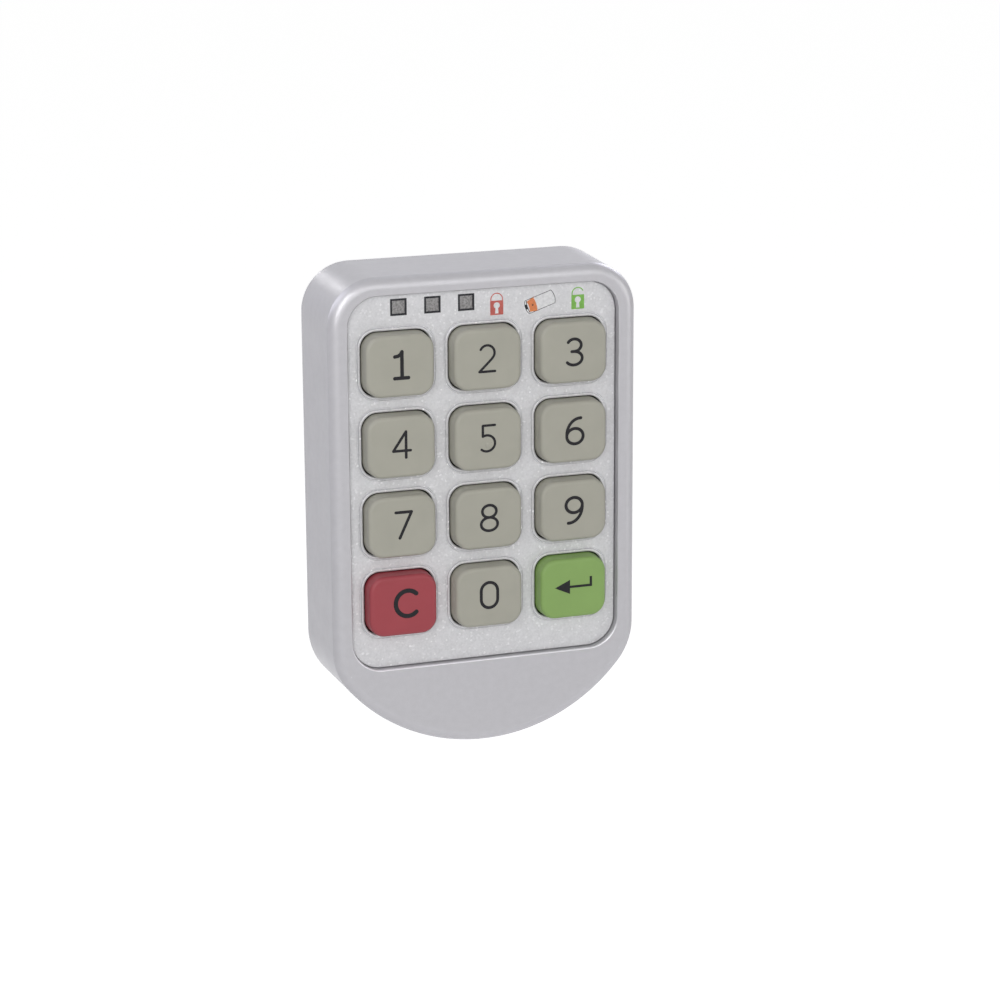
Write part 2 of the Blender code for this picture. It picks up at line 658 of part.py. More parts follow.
def make_label():
    bm = bmesh.new()
    face_block(
        bm, RECESS_WIDTH - 2 * SEAT_GAP, RECESS_HEIGHT - 2 * SEAT_GAP, (0, RECESS_MIDDLE),
        LABEL_FRONT, LABEL_BACK, RECESS_CORNER_RADIUS - SEAT_GAP)
    label = add_object("keypad_label", mesh_of("keypad_label", bm), LABEL_SILVER)
    collar_back = LABEL_FRONT + LABEL_THICKNESS / 2
    collars = key_openings("collar_stock", COLLAR_WIDTH, LABEL_FRONT - COLLAR_RISE, collar_back)
    fuse(label, add_cutter("collar_stock", collars))
    front = LABEL_FRONT - CUT_OVERRUN
    keys = key_openings("label_key_cutter", 0, front, LABEL_BACK + CUT_OVERRUN)
    cut(label, add_cutter("label_key_cutter", keys))
    windows = window_openings("label_window_cutter", front, LABEL_BACK + CUT_OVERRUN)
    cut(label, add_cutter("label_window_cutter", windows))


# Keys, each a cap on a flange that stops it behind the housing's web

def key_mesh(name):
    bm = bmesh.new()
    flange_border = KEY_FLANGE_BORDER
    flange_back = MAT_FRONT + KEY_FLANGE_THICKNESS - KEY_TOP
    flange_front = MAT_FRONT - KEY_TOP
    face_block(
        bm, KEY_HOLE_WIDTH + 2 * flange_border, KEY_HOLE_HEIGHT + 2 * flange_border, (0, 0),
        flange_front, flange_back, KEY_HOLE_RADIUS + flange_border)
    front = min(bm.faces, key=lambda face: face.calc_center_median().y)
    bmesh.ops.inset_region(bm, faces=[front], thickness=flange_border + SEAT_GAP, use_even_offset=True)
    grown = bmesh.ops.extrude_face_region(bm, geom=[front])
    cap_verts = [item for item in grown["geom"] if isinstance(item, bmesh.types.BMVert)]
    bmesh.ops.delete(bm, geom=[front], context="FACES_ONLY")
    half_width = KEY_HOLE_WIDTH / 2 - SEAT_GAP
    shrink = 1 - KEY_TAPER / half_width
    for vert in cap_verts:
        vert.co = (vert.co.x * shrink, 0, vert.co.z * shrink)
    cap = min(bm.faces, key=lambda face: face.calc_center_median().y)
    bmesh.ops.bevel(
        bm, geom=list(cap.edges), offset=KEY_EDGE_RADIUS, segments=2, affect="EDGES", profile=0.5)
    return mesh_of(name, bm)


def make_keys():
    shared = key_mesh("key_cap")
    colours = {"key_clear": KEY_RED, "key_enter": KEY_GREEN}
    for names, height in zip(KEY_NAMES, KEY_ROWS):
        for name, side in zip(names, KEY_COLUMNS):
            mesh = shared.copy()
            mesh.name = name
            key = add_object(name, mesh, colours.get(name, KEY_BEIGE), place(side, KEY_TOP, height))
            if name == "key_5":
                add_locator_dot(key)


def add_locator_dot(key):
    bm = bmesh.new()
    flatten = Matrix.Diagonal((1.0, LOCATOR_DOT_RISE / (LOCATOR_DOT_DIAMETER / 2), 1.0, 1.0))
    bmesh.ops.create_uvsphere(
        bm, u_segments=8, v_segments=6, radius=LOCATOR_DOT_DIAMETER / 2,
        matrix=flatten @ ALONG_Y)
    fuse(key, add_cutter("locator_dot", mesh_of("locator_dot", bm), key.matrix_world))


# Rubber mat, a frame round the key flanges

def make_mat():
    wide = KEY_HOLE_WIDTH + 2 * (KEY_WELL_BORDER + MAT_BORDER)
    high = KEY_HOLE_HEIGHT + 2 * (KEY_WELL_BORDER + MAT_BORDER)
    middle = (KEY_ROWS[0] + KEY_ROWS[-1]) / 2
    bm = bmesh.new()
    face_block(
        bm, KEY_COLUMNS[-1] - KEY_COLUMNS[0] + wide, KEY_ROWS[0] - KEY_ROWS[-1] + high, (0, middle),
        MAT_FRONT, MAT_BACK, MAT_CORNER_RADIUS)
    mat = add_object("keypad_mat", mesh_of("keypad_mat", bm), RUBBER_GREY)
    wells = key_openings(
        "mat_cutter", KEY_WELL_BORDER, MAT_FRONT - CUT_OVERRUN, MAT_BACK + CUT_OVERRUN)
    cut(mat, add_cutter("mat_cutter", wells))


# Status windows and lamps

def make_status_lights():
    width = WINDOW_SIZE - 2 * SEAT_GAP
    flange = WINDOW_SIZE + 2 * WINDOW_FLANGE_BORDER
    lens_front = LABEL_FRONT + SEAT_GAP / 2
    for index, side in enumerate(WINDOW_COLUMNS):
        bm = bmesh.new()
        flange_back = MAT_FRONT + WINDOW_FLANGE_THICKNESS
        face_block(bm, flange, flange, (0, 0), MAT_FRONT, flange_back, 0.0)
        front = min(bm.faces, key=lambda face: face.calc_center_median().y)
        bmesh.ops.inset_region(bm, faces=[front], thickness=(flange - width) / 2, use_even_offset=True)
        grown = bmesh.ops.extrude_face_region(bm, geom=[front])
        bmesh.ops.delete(bm, geom=[front], context="FACES_ONLY")
        for item in grown["geom"]:
            if isinstance(item, bmesh.types.BMVert):
                item.co.y = lens_front
        name = "status_window_%d" % (index + 1)
        add_object(name, mesh_of(name, bm), LENS_GREY, place(side, 0, WINDOW_ROW))
        lamp = "status_lamp_%d" % (index + 1)
        low = (-LAMP_WIDTH / 2, MAT_BACK - LAMP_THICKNESS, -LAMP_HEIGHT / 2)
        high = (LAMP_WIDTH / 2, MAT_BACK, LAMP_HEIGHT / 2)
        add_object(lamp, block_mesh(lamp, low, high), LAMP_WHITE, place(side, 0, WINDOW_ROW))


# Circuit board and what it carries

def make_board():
    low = (-BOARD_HALF_WIDTH, BOARD_FRONT, BOARD_BOTTOM)
    high = (BOARD_HALF_WIDTH, BOARD_BACK, BOARD_TOP)
    board = add_object(
        "circuit_board", block_mesh("circuit_board", low, high, BOARD_CORNER_RADIUS), BOARD_GREEN)
    start = BOARD_FRONT - CUT_OVERRUN
    end = BOARD_BACK + CUT_OVERRUN
    notch = SCREW_BOSS_DIAMETER + 2 * SEAT_GAP
    cut(board, add_cutter("board_notches", pins("board_notches", screw_places(), notch, start, end)))
    hole = BOARD_SCREW_DIAMETER + 2 * SEAT_GAP
    cut(board, add_cutter("board_holes", pins("board_holes", board_screw_places(), hole, start, end)))
    front = BOARD_BACK + SEAT_GAP
    low = (-CHIP_SIZE / 2, front, -CHIP_SIZE / 2)
    high = (CHIP_SIZE / 2, front + CHIP_THICKNESS, CHIP_SIZE / 2)
    add_object(
        "controller_chip", block_mesh("controller_chip", low, high), CHIP_BLACK,
        place(BOARD_HALF_WIDTH - CHIP_BORDER, 0, TRAY_BOTTOM - CHIP_TRAY_GAP - CHIP_SIZE / 2))
    radius = BUZZER_DIAMETER / 2
    profile = [
        (0, BUZZER_HEIGHT),
        (radius - CELL_EDGE, BUZZER_HEIGHT),
        (radius, BUZZER_HEIGHT - CELL_EDGE),
        (radius, 0),
        (0, 0),
    ]
    side = BUZZER_BORDER - BOARD_HALF_WIDTH
    matrix = place(side, front, BARREL_AXIS_Z - BUZZER_BELOW_BARREL, ALONG_Y)
    turned("buzzer", profile, CHIP_BLACK, matrix, ROUND_STEPS)


# Screws

def make_screw(name, place_matrix, diameter, length, head, head_height, material=STEEL):
    """A pan-head screw along its own Z, its head's underside at zero, pointing down."""
    chamfer = head_height / 3
    profile = [
        (0, head_height),
        (head / 2 - chamfer, head_height),
        (head / 2, head_height - chamfer),
        (head / 2, 0),
        (diameter / 2, 0),
        (diameter / 2, -length + diameter / 2),
        (0, -length),
    ]
    turned(name, profile, material, place_matrix, SMALL_ROUND_STEPS)


def make_screws():
    for index, (x, z) in enumerate(screw_places()):
        make_screw(
            "base_screw_%d" % (index + 1), place(x, BASE_SCREW_SEAT, z, ALONG_Y),
            BASE_SCREW_DIAMETER, BASE_SCREW_LENGTH, BASE_SCREW_HEAD, BASE_SCREW_HEAD_HEIGHT)
    for index, (x, z) in enumerate(board_screw_places()):
        make_screw(
            "board_screw_%d" % (index + 1), place(x, BOARD_BACK + SEAT_GAP, z, ALONG_Y),
            BOARD_SCREW_DIAMETER, BOARD_SCREW_LENGTH, BOARD_SCREW_HEAD, BOARD_SCREW_HEAD_HEIGHT)


# Battery tray, cells and contacts

def make_tray():
    inside_height = CELL_STACK_HEIGHT + 2 * SEAT_GAP
    half_height = inside_height / 2 + TRAY_WALL
    half = TRAY_HALF_LENGTH
    low = (-half, TRAY_FRONT, CELL_STACK_MIDDLE - half_height)
    high = (half, TRAY_BACK, CELL_STACK_MIDDLE + half_height)
    tray = add_object(
        "battery_tray", block_mesh("battery_tray", low, high, TRAY_CORNER_RADIUS), PLASTIC_DARK)
    low = (-half + TRAY_WALL, TRAY_FLOOR_BACK, CELL_STACK_MIDDLE - inside_height / 2)
    high = (half - TRAY_WALL, TRAY_BACK + CUT_OVERRUN, CELL_STACK_MIDDLE + inside_height / 2)
    inner_radius = TRAY_CORNER_RADIUS - TRAY_WALL
    cut(tray, add_cutter("tray_cutter", block_mesh("tray_cutter", low, high, inner_radius)))
    bm = bmesh.new()
    rib_end = TRAY_FLOOR_BACK + TRAY_RIB_HEIGHT
    for upper, lower in zip(CELL_HEIGHTS, CELL_HEIGHTS[1:]):
        middle = (upper + lower) / 2
        add_block(
            bm, (-CELL_LENGTH / 2, TRAY_FRONT + TRAY_FLOOR / 2, middle - TRAY_WALL / 2),
            (CELL_LENGTH / 2, rib_end, middle + TRAY_WALL / 2))
    fuse(tray, add_cutter("tray_ribs", mesh_of("tray_ribs", bm)))


def cell_directions():
    """+1 where the cell's nub points to +X, -1 where it points to -X."""
    return [1 if index % 2 == 0 else -1 for index in range(CELL_COUNT)]


def make_cells():
    half = CELL_LENGTH / 2
    shoulder = half - CELL_NUB_LENGTH
    radius = CELL_DIAMETER / 2
    nub = CELL_NUB_DIAMETER / 2
    profile = [
        (0, half),
        (nub, half),
        (nub, shoulder),
        (radius - CELL_EDGE, shoulder),
        (radius, shoulder - CELL_EDGE),
        (radius, CELL_EDGE - half),
        (radius - CELL_EDGE, -half),
        (0, -half),
    ]
    for index, (height, direction) in enumerate(zip(CELL_HEIGHTS, cell_directions())):
        turn = Matrix.Rotation(direction * math.radians(90), 4, "Y")
        matrix = place(direction * CELL_SHIFT, CELL_AXIS_Y, height, turn)
        turned("battery_%d" % (index + 1), profile, CELL_JACKET, matrix, CELL_STEPS)


def make_contacts():
    """Flat end plates that join the cells in one chain, and the springs on them."""
    outside = TRAY_INSIDE_LENGTH / 2 - SEAT_GAP
    groups = ((-1, (0,)), (1, (0, 1)), (-1, (1, 2)), (1, (2, 3)), (-1, (3,)))
    for index, (side, members) in enumerate(groups):
        top = CELL_HEIGHTS[members[0]] + CONTACT_WIDTH / 2
        bottom = CELL_HEIGHTS[members[-1]] - CONTACT_WIDTH / 2
        ends = sorted((side * outside, side * (outside - CONTACT_THICKNESS)))
        low = (ends[0], CELL_AXIS_Y - CONTACT_WIDTH / 2, bottom)
        high = (ends[1], CELL_AXIS_Y + CONTACT_WIDTH / 2, top)
        name = "battery_contact_%d" % (index + 1)
        add_object(name, block_mesh(name, low, high, CONTACT_THICKNESS * 2, 0), NICKEL)
    for index, (height, direction) in enumerate(zip(CELL_HEIGHTS, cell_directions())):
        make_spring("battery_spring_%d" % (index + 1), -direction, height, outside)


def make_spring(name, side, height, outside):
    """A conical coil, wide at the contact plate and narrow at the cell."""
    start = outside - CONTACT_THICKNESS - SEAT_GAP - SPRING_WIRE / 2
    travel = SPRING_LENGTH - SPRING_WIRE - SEAT_GAP
    count = round(SPRING_TURNS * SPRING_STEPS)
    curve = bpy.data.curves.new(name, "CURVE")
    curve.dimensions = "3D"
    curve.bevel_depth = SPRING_WIRE / 2
    curve.bevel_resolution = 1
    curve.use_fill_caps = True
    spline = curve.splines.new("POLY")
    spline.points.add(count)
    for index in range(count + 1):
        share = index / count
        angle = share * SPRING_TURNS * math.tau
        diameter = SPRING_WIDE_DIAMETER + share * (SPRING_NARROW_DIAMETER - SPRING_WIDE_DIAMETER)
        x = side * (start - share * travel)
        y = CELL_AXIS_Y + diameter / 2 * math.cos(angle)
        z = height + diameter / 2 * math.sin(angle)
        spline.points[index].co = (x, y, z, 1.0)
    item = bpy.data.objects.new(name, curve)
    curve.materials.append(NICKEL)
    PARTS.objects.link(item)


# Battery cover and its screw

def cover_box():
    """Half width, bottom and top of the cover, from the cells that it uncovers."""
    half_width = CELL_LENGTH / 2 + CELL_SHIFT + COVER_LEDGE
    depth = CELL_AXIS_Y - BASE_FRONT
    chord = math.sqrt(max((CELL_DIAMETER / 2) ** 2 - depth ** 2, 0))
    bottom = CELL_HEIGHTS[-1] - chord - SEAT_GAP - COVER_LEDGE
    top = CELL_HEIGHTS[0] + chord + SEAT_GAP + COVER_LEDGE
    return half_width, bottom, top


def cover_screw_height():
    return cover_box()[2] + COVER_TAB_LENGTH - COVER_SCREW_HEAD / 2 - SEAT_GAP


def cover_shape(name, grow, front, back):
    half_width, bottom, top = cover_box()
    bm = bmesh.new()
    add_block(
        bm, (-half_width - grow, front, bottom - grow), (half_width + grow, back, top + grow),
        COVER_CORNER_RADIUS)
    plate = mesh_of(name, bm)
    tab_half = COVER_TAB_WIDTH / 2 + grow
    low = (-tab_half, front, top - COVER_TAB_LENGTH)
    high = (tab_half, back, top + COVER_TAB_LENGTH + grow)
    tab = block_mesh(name + "_tab", low, high, COVER_LEDGE)
    return plate, tab


def make_cover():
    plate, tab = cover_shape("battery_cover", 0, COVER_FRONT, 0)
    cover = add_object("battery_cover", plate, PLASTIC_DARK)
    fuse(cover, add_cutter("battery_cover_tab", tab))
    height = cover_screw_height()
    hole = pins(
        "cover_hole", [(0, height)], COVER_SCREW_DIAMETER + 2 * SEAT_GAP, COVER_FRONT - CUT_OVERRUN,
        CUT_OVERRUN)
    cut(cover, add_cutter("cover_hole", hole))
    head_seat = COVER_SCREW_HEAD_HEIGHT + SEAT_GAP / 2
    sink = pins("cover_sink", [(0, height)], COVER_SCREW_HEAD + SEAT_GAP, -head_seat, CUT_OVERRUN)
    cut(cover, add_cutter("cover_sink", sink))
    length = BASE_THICKNESS - COVER_SCREW_HEAD_HEIGHT
    make_screw(
        "cover_screw", place(0, -COVER_SCREW_HEAD_HEIGHT, height, ALONG_Y), COVER_SCREW_DIAMETER, length,
        COVER_SCREW_HEAD, COVER_SCREW_HEAD_HEIGHT)


# Base plate with the motor's cradle and the worm's bearing

def barrel_section_mesh(name, diameter, across_flats, start, end):
    """A cylinder along Y on the barrel's axis with two flats on its sides."""
    bm = bmesh.new()
    add_cylinder(bm, diameter, start, end, place(0, 0, BARREL_AXIS_Z, ALONG_Y), ROUND_STEPS)
    for side in (-1, 1):
        geometry = list(bm.verts) + list(bm.edges) + list(bm.faces)
        result = bmesh.ops.bisect_plane(
            bm, geom=geometry, plane_co=(side * across_flats / 2, 0, 0), plane_no=(side, 0, 0),
            clear_outer=True)
        rim = [item for item in result["geom_cut"] if isinstance(item, bmesh.types.BMEdge)]
        bmesh.ops.holes_fill(bm, edges=rim)
    return mesh_of(name, bm)


def make_base():
    inset = HOUSING_WALL + SEAT_GAP
    base = add_object("base_plate", outline_mesh("base_plate", inset, inset, 0, BASE_FRONT), PLASTIC_DARK)
    bm = bmesh.new()
    root = BASE_FRONT + SEAT_GAP
    for side in (-1, 1):
        near = WORM_AXIS_Z + side * (MOTOR_DIAMETER / 2 + SEAT_GAP)
        ends = sorted((near, near + side * CRADLE_THICKNESS))
        add_block(
            bm, (MOTOR_LEFT, BASE_FRONT - CRADLE_HEIGHT, ends[0]), (MOTOR_RIGHT, root, ends[1]))
    bearing_front = WORM_AXIS_Y - BEARING_CROWN
    add_block(
        bm, (BEARING_OFFSET, bearing_front, WORM_AXIS_Z - BEARING_WIDTH / 2),
        (BEARING_OFFSET + BEARING_THICKNESS, root, WORM_AXIS_Z + BEARING_WIDTH / 2))
    fuse(base, add_cutter("cradle_stock", mesh_of("cradle_stock", bm)))
    bore = cylinder_mesh(
        "bearing_cutter", WORM_SHAFT_DIAMETER + 2 * SEAT_GAP, BEARING_OFFSET - CUT_OVERRUN,
        BEARING_OFFSET + BEARING_THICKNESS + CUT_OVERRUN)
    cut(base, add_cutter("bearing_cutter", bore, place(0, WORM_AXIS_Y, WORM_AXIS_Z, ALONG_X)))
    start = BASE_FRONT - CUT_OVERRUN
    hole = barrel_section_mesh(
        "barrel_cutter", BARREL_DIAMETER + 2 * SEAT_GAP, BARREL_ACROSS_FLATS + 2 * SEAT_GAP, start,
        CUT_OVERRUN)
    cut(base, add_cutter("barrel_cutter", hole))
    ledge_depth = COVER_FRONT - SEAT_GAP
    plate, tab = cover_shape("cover_seat", SEAT_GAP, ledge_depth, CUT_OVERRUN)
    cut(base, add_cutter("cover_seat", plate))
    cut(base, add_cutter("cover_seat_tab", tab))
    half_width, bottom, top = cover_box()
    low = (-half_width + COVER_LEDGE, start, bottom + COVER_LEDGE)
    high = (half_width - COVER_LEDGE, CUT_OVERRUN, top - COVER_LEDGE)
    opening = block_mesh("battery_opening", low, high, COVER_CORNER_RADIUS)
    cut(base, add_cutter("battery_opening", opening))
    cover_hole = pins(
        "cover_pilot", [(0, cover_screw_height())], COVER_SCREW_DIAMETER + 2 * SEAT_GAP, start, CUT_OVERRUN)
    cut(base, add_cutter("cover_pilot", cover_hole))
    holes = pins("base_holes", screw_places(), BASE_SCREW_DIAMETER + 2 * SEAT_GAP, start, CUT_OVERRUN)
    cut(base, add_cutter("base_holes", holes))
    sink_floor = -BASE_SCREW_HEAD_HEIGHT - 2 * SEAT_GAP
    sinks = pins("base_sinks", screw_places(), BASE_SCREW_HEAD + SEAT_GAP, sink_floor, CUT_OVERRUN)
    cut(base, add_cutter("base_sinks", sinks))


# Motor, gearbox and worm

def make_motor():
    gearbox_right = -GEARBOX_OFFSET
    gearbox_left = gearbox_right - GEARBOX_LENGTH
    half_thick = MOTOR_THICKNESS / 2
    half_wide = MOTOR_DIAMETER / 2
    low = (gearbox_left, WORM_AXIS_Y - half_thick, WORM_AXIS_Z - half_wide)
    high = (gearbox_right, WORM_AXIS_Y + half_thick, WORM_AXIS_Z + half_wide)
    add_object("gearbox", block_mesh("gearbox", low, high, CRADLE_THICKNESS, 0), BRASS)
    bm = bmesh.new()
    add_cylinder(
        bm, MOTOR_DIAMETER, MOTOR_LEFT, MOTOR_RIGHT, place(0, WORM_AXIS_Y, WORM_AXIS_Z, ALONG_X),
        ROUND_STEPS)
    for side in (-1, 1):
        geometry = list(bm.verts) + list(bm.edges) + list(bm.faces)
        result = bmesh.ops.bisect_plane(
            bm, geom=geometry, plane_co=(0, WORM_AXIS_Y + side * half_thick, 0), plane_no=(0, side, 0),
            clear_outer=True)
        rim = [item for item in result["geom_cut"] if isinstance(item, bmesh.types.BMEdge)]
        bmesh.ops.holes_fill(bm, edges=rim)
    motor = add_object("motor", mesh_of("motor", bm), NICKEL)
    cap = cylinder_mesh(
        "motor_cap", MOTOR_CAP_DIAMETER, MOTOR_LEFT - MOTOR_CAP_LENGTH, MOTOR_LEFT + MOTOR_CAP_LENGTH)
    fuse(motor, add_cutter("motor_cap", cap, place(0, WORM_AXIS_Y, WORM_AXIS_Z, ALONG_X)))


def thread_mesh(name):
    """One ridge wound round the core, at the wheel's side where x is zero."""
    bm = bmesh.new()
    turns = WORM_THREAD_LENGTH / TOOTH_PITCH
    steps = round(turns * THREAD_STEPS)
    foot = TOOTH_PITCH * 0.24
    crest = TOOTH_PITCH * 0.11
    inner = WORM_CORE_DIAMETER / 2 - SEAT_GAP
    outer = WORM_CREST_DIAMETER / 2
    section = [(inner, 0, -foot), (outer, 0, -crest), (outer, 0, crest), (inner, 0, foot)]
    rise = TOOTH_PITCH * turns / steps
    sections = []
    for index in range(steps + 1):
        angle = math.tau * turns * (index / steps - 0.5)
        climb = Matrix.Translation((0, 0, rise * (index - steps / 2)))
        move = climb @ Matrix.Rotation(angle, 4, "Z")
        sections.append([move @ Vector(point) for point in section])
    loft(bm, sections)
    return mesh_of(name, bm)


def make_worm():
    half = WORM_CORE_LENGTH / 2
    shaft = WORM_SHAFT_DIAMETER / 2
    core = WORM_CORE_DIAMETER / 2
    left = -GEARBOX_OFFSET + SEAT_GAP
    right = BEARING_OFFSET + BEARING_THICKNESS - SEAT_GAP
    profile = [
        (0, right),
        (shaft, right),
        (shaft, half),
        (core, half - shaft / 2),
        (core, shaft / 2 - half),
        (shaft, -half),
        (shaft, left),
        (0, left),
    ]
    matrix = place(0, WORM_AXIS_Y, WORM_AXIS_Z, ALONG_X)
    worm = turned("worm", profile, STEEL, matrix, SMALL_ROUND_STEPS)
    fuse(worm, add_cutter("worm_thread", thread_mesh("worm_thread"), matrix))


def wheel_outline(turn):
    """Tooth points (x, z) round the wheel; a gap faces the worm when turn is zero."""
    tooth_angle = math.tau / WHEEL_TEETH
    root_share = 0.20
    tip_share = 0.10
    points = []
    for index in range(WHEEL_TEETH):
        middle = math.pi / 2 + tooth_angle * (index + 0.5) - turn
        for radius, offset in (
                (WHEEL_ROOT_RADIUS, -root_share),
                (WHEEL_TIP_RADIUS, -tip_share),
                (WHEEL_TIP_RADIUS, tip_share),
                (WHEEL_ROOT_RADIUS, root_share)):
            angle = middle + tooth_angle * offset
            points.append((radius * math.cos(angle), radius * math.sin(angle)))
    return points


def make_wheel():
    bm = bmesh.new()
    sections = []
    for share in (-0.5, 0.0, 0.5):
        depth = share * WHEEL_THICKNESS
        turn = depth * WORM_LEAD_SLOPE / WHEEL_PITCH_RADIUS
        sections.append([(x, depth, z) for x, z in wheel_outline(turn)])
    loft(bm, sections)
    matrix = place(0, WORM_AXIS_Y, BARREL_AXIS_Z)
    wheel = add_object("worm_wheel", mesh_of("worm_wheel", bm), ACETAL_WHITE, matrix)
    half = WHEEL_THICKNESS / 2 + CUT_OVERRUN
    bore = cylinder_mesh("wheel_bore", SPINDLE_SEAT_DIAMETER + 2 * SEAT_GAP, -half, half, ROUND_STEPS)
    bore = seat_flat(bore, SPINDLE_SEAT_FLAT + SEAT_GAP)
    cut(wheel, add_cutter("wheel_bore", bore, matrix @ ALONG_Y))


def seat_flat(mesh, offset):
    """Cuts a flat along one side of a cylinder that stands on its own Z."""
    bm = bmesh.new()
    bm.from_mesh(mesh)
    geometry = list(bm.verts) + list(bm.edges) + list(bm.faces)
    result = bmesh.ops.bisect_plane(
        bm, geom=geometry, plane_co=(offset, 0, 0), plane_no=(1, 0, 0), clear_outer=True)
    rim = [item for item in result["geom_cut"] if isinstance(item, bmesh.types.BMEdge)]
    bmesh.ops.holes_fill(bm, edges=rim)
    return mesh_of(mesh.name, bm)


# Barrel, spindle and cam

def make_barrel():
    front = BARREL_FLANGE_FRONT
    root = BARREL_FLANGE_BACK - BARREL_FLANGE_THICKNESS / 2
    body = barrel_section_mesh("barrel", BARREL_DIAMETER, BARREL_ACROSS_FLATS, root, BARREL_LENGTH)
    barrel = add_object("barrel", body, NICKEL)
    flange = pins(
        "barrel_flange", [(0, BARREL_AXIS_Z)], BARREL_FLANGE_DIAMETER, front, BARREL_FLANGE_BACK,
        ROUND_STEPS)
    fuse(barrel, add_cutter("barrel_flange", flange))
    bore = pins(
        "barrel_bore", [(0, BARREL_AXIS_Z)], SPINDLE_DIAMETER + 2 * SEAT_GAP, front - CUT_OVERRUN,
        BARREL_LENGTH + CUT_OVERRUN, ROUND_STEPS)
    cut(barrel, add_cutter("barrel_bore", bore))


def spindle_levels():
    """Front end, collar, shoulder and back end of the spindle along Y."""
    collar_back = BARREL_FLANGE_FRONT - SEAT_GAP
    collar_front = collar_back - SPINDLE_COLLAR_THICKNESS
    front = WORM_AXIS_Y - WHEEL_THICKNESS / 2 - SPINDLE_FRONT_REACH
    back = BARREL_LENGTH + CAM_THICKNESS
    return front, collar_front, collar_back, back


def make_spindle():
    front, collar_front, collar_back, back = spindle_levels()
    radius = SPINDLE_DIAMETER / 2
    seat = SPINDLE_SEAT_DIAMETER / 2
    collar = SPINDLE_COLLAR_DIAMETER / 2
    profile = [
        (0, BARREL_LENGTH),
        (radius, BARREL_LENGTH),
        (radius, collar_back),
        (collar, collar_back),
        (collar, collar_front),
        (seat, collar_front),
        (seat, front),
        (0, front),
    ]
    axis = place(0, 0, BARREL_AXIS_Z, ALONG_Y)
    spindle = turned("spindle", profile, STEEL, axis, ROUND_STEPS)
    half = SPINDLE_SQUARE / 2
    low = (-half, BARREL_LENGTH - CUT_OVERRUN, BARREL_AXIS_Z - half)
    high = (half, back, BARREL_AXIS_Z + half)
    fuse(spindle, add_cutter("spindle_square", block_mesh("spindle_square", low, high)))
    bolt_hole = pins(
        "bolt_cutter", [(0, BARREL_AXIS_Z)], CAM_BOLT_DIAMETER + 2 * SEAT_GAP,
        back - CAM_BOLT_LENGTH, back + CUT_OVERRUN)
    cut(spindle, add_cutter("bolt_cutter", bolt_hole))
    low = (SPINDLE_SEAT_FLAT, front - CUT_OVERRUN, BARREL_AXIS_Z - collar)
    high = (collar, collar_front, BARREL_AXIS_Z + collar)
    cut(spindle, add_cutter("spindle_flat", block_mesh("spindle_flat", low, high)))


def make_washer_and_nut():
    axis = place(0, 0, BARREL_AXIS_Z, ALONG_Y)
    bore = BARREL_DIAMETER + 2 * SEAT_GAP
    washer = bore + 2 * WASHER_BAND
    turned_ring("barrel_washer", washer, bore, WASHER_FRONT, WASHER_BACK, NICKEL, axis)
    across_corners = NUT_ACROSS_FLATS / math.cos(math.pi / 6)
    nut_axis = axis @ Matrix.Rotation(math.pi / 6, 4, "Z")
    bm = bmesh.new()
    add_cylinder(bm, across_corners, NUT_FRONT, NUT_BACK, UPRIGHT, 6)
    rims = [edge for edge in bm.edges if abs(edge.verts[0].co.z - edge.verts[1].co.z) < MERGE_DISTANCE]
    bmesh.ops.bevel(bm, geom=rims, offset=NUT_CHAMFER, segments=1, affect="EDGES", profile=0.5)
    nut = add_object("barrel_nut", mesh_of("barrel_nut", bm), NICKEL, nut_axis)
    cutter = cylinder_mesh(
        "nut_cutter", bore, NUT_FRONT - CUT_OVERRUN, NUT_BACK + CUT_OVERRUN, ROUND_STEPS)
    cut(nut, add_cutter("nut_cutter", cutter, nut_axis))


def cam_section(y, inset):
    """The cam's outline: a round hub that tapers to a round-cornered tip at +X."""
    hub = CAM_WIDTH / 2 - inset
    tip_half = CAM_TIP_WIDTH / 2
    tip_radius = tip_half / 2
    reach = CAM_REACH
    slope = math.atan2(CAM_WIDTH / 2 - tip_half, reach - tip_radius)
    quarter = math.pi / 2
    points = arc((0, 0), hub, quarter - slope, math.tau - quarter + slope, ROUND_STEPS // 2)
    lower = (reach - tip_radius, -tip_half + tip_radius)
    upper = (reach - tip_radius, tip_half - tip_radius)
    points += arc(lower, tip_radius - inset, slope - quarter, 0, CORNER_STEPS)
    points += arc(upper, tip_radius - inset, 0, quarter - slope, CORNER_STEPS)
    return [(x, y, z) for x, z in points]


def crank_cam(bm):
    """Steps the tip back from the hub's plane by a short slope."""
    for station in (CAM_CRANK_START, CAM_CRANK_START + CAM_CRANK_RUN):
        geometry = list(bm.verts) + list(bm.edges) + list(bm.faces)
        bmesh.ops.bisect_plane(bm, geom=geometry, plane_co=(station, 0, 0), plane_no=(1, 0, 0))
    for vert in bm.verts:
        share = (vert.co.x - CAM_CRANK_START) / CAM_CRANK_RUN
        vert.co.y += CAM_CRANK * min(max(share, 0), 1)


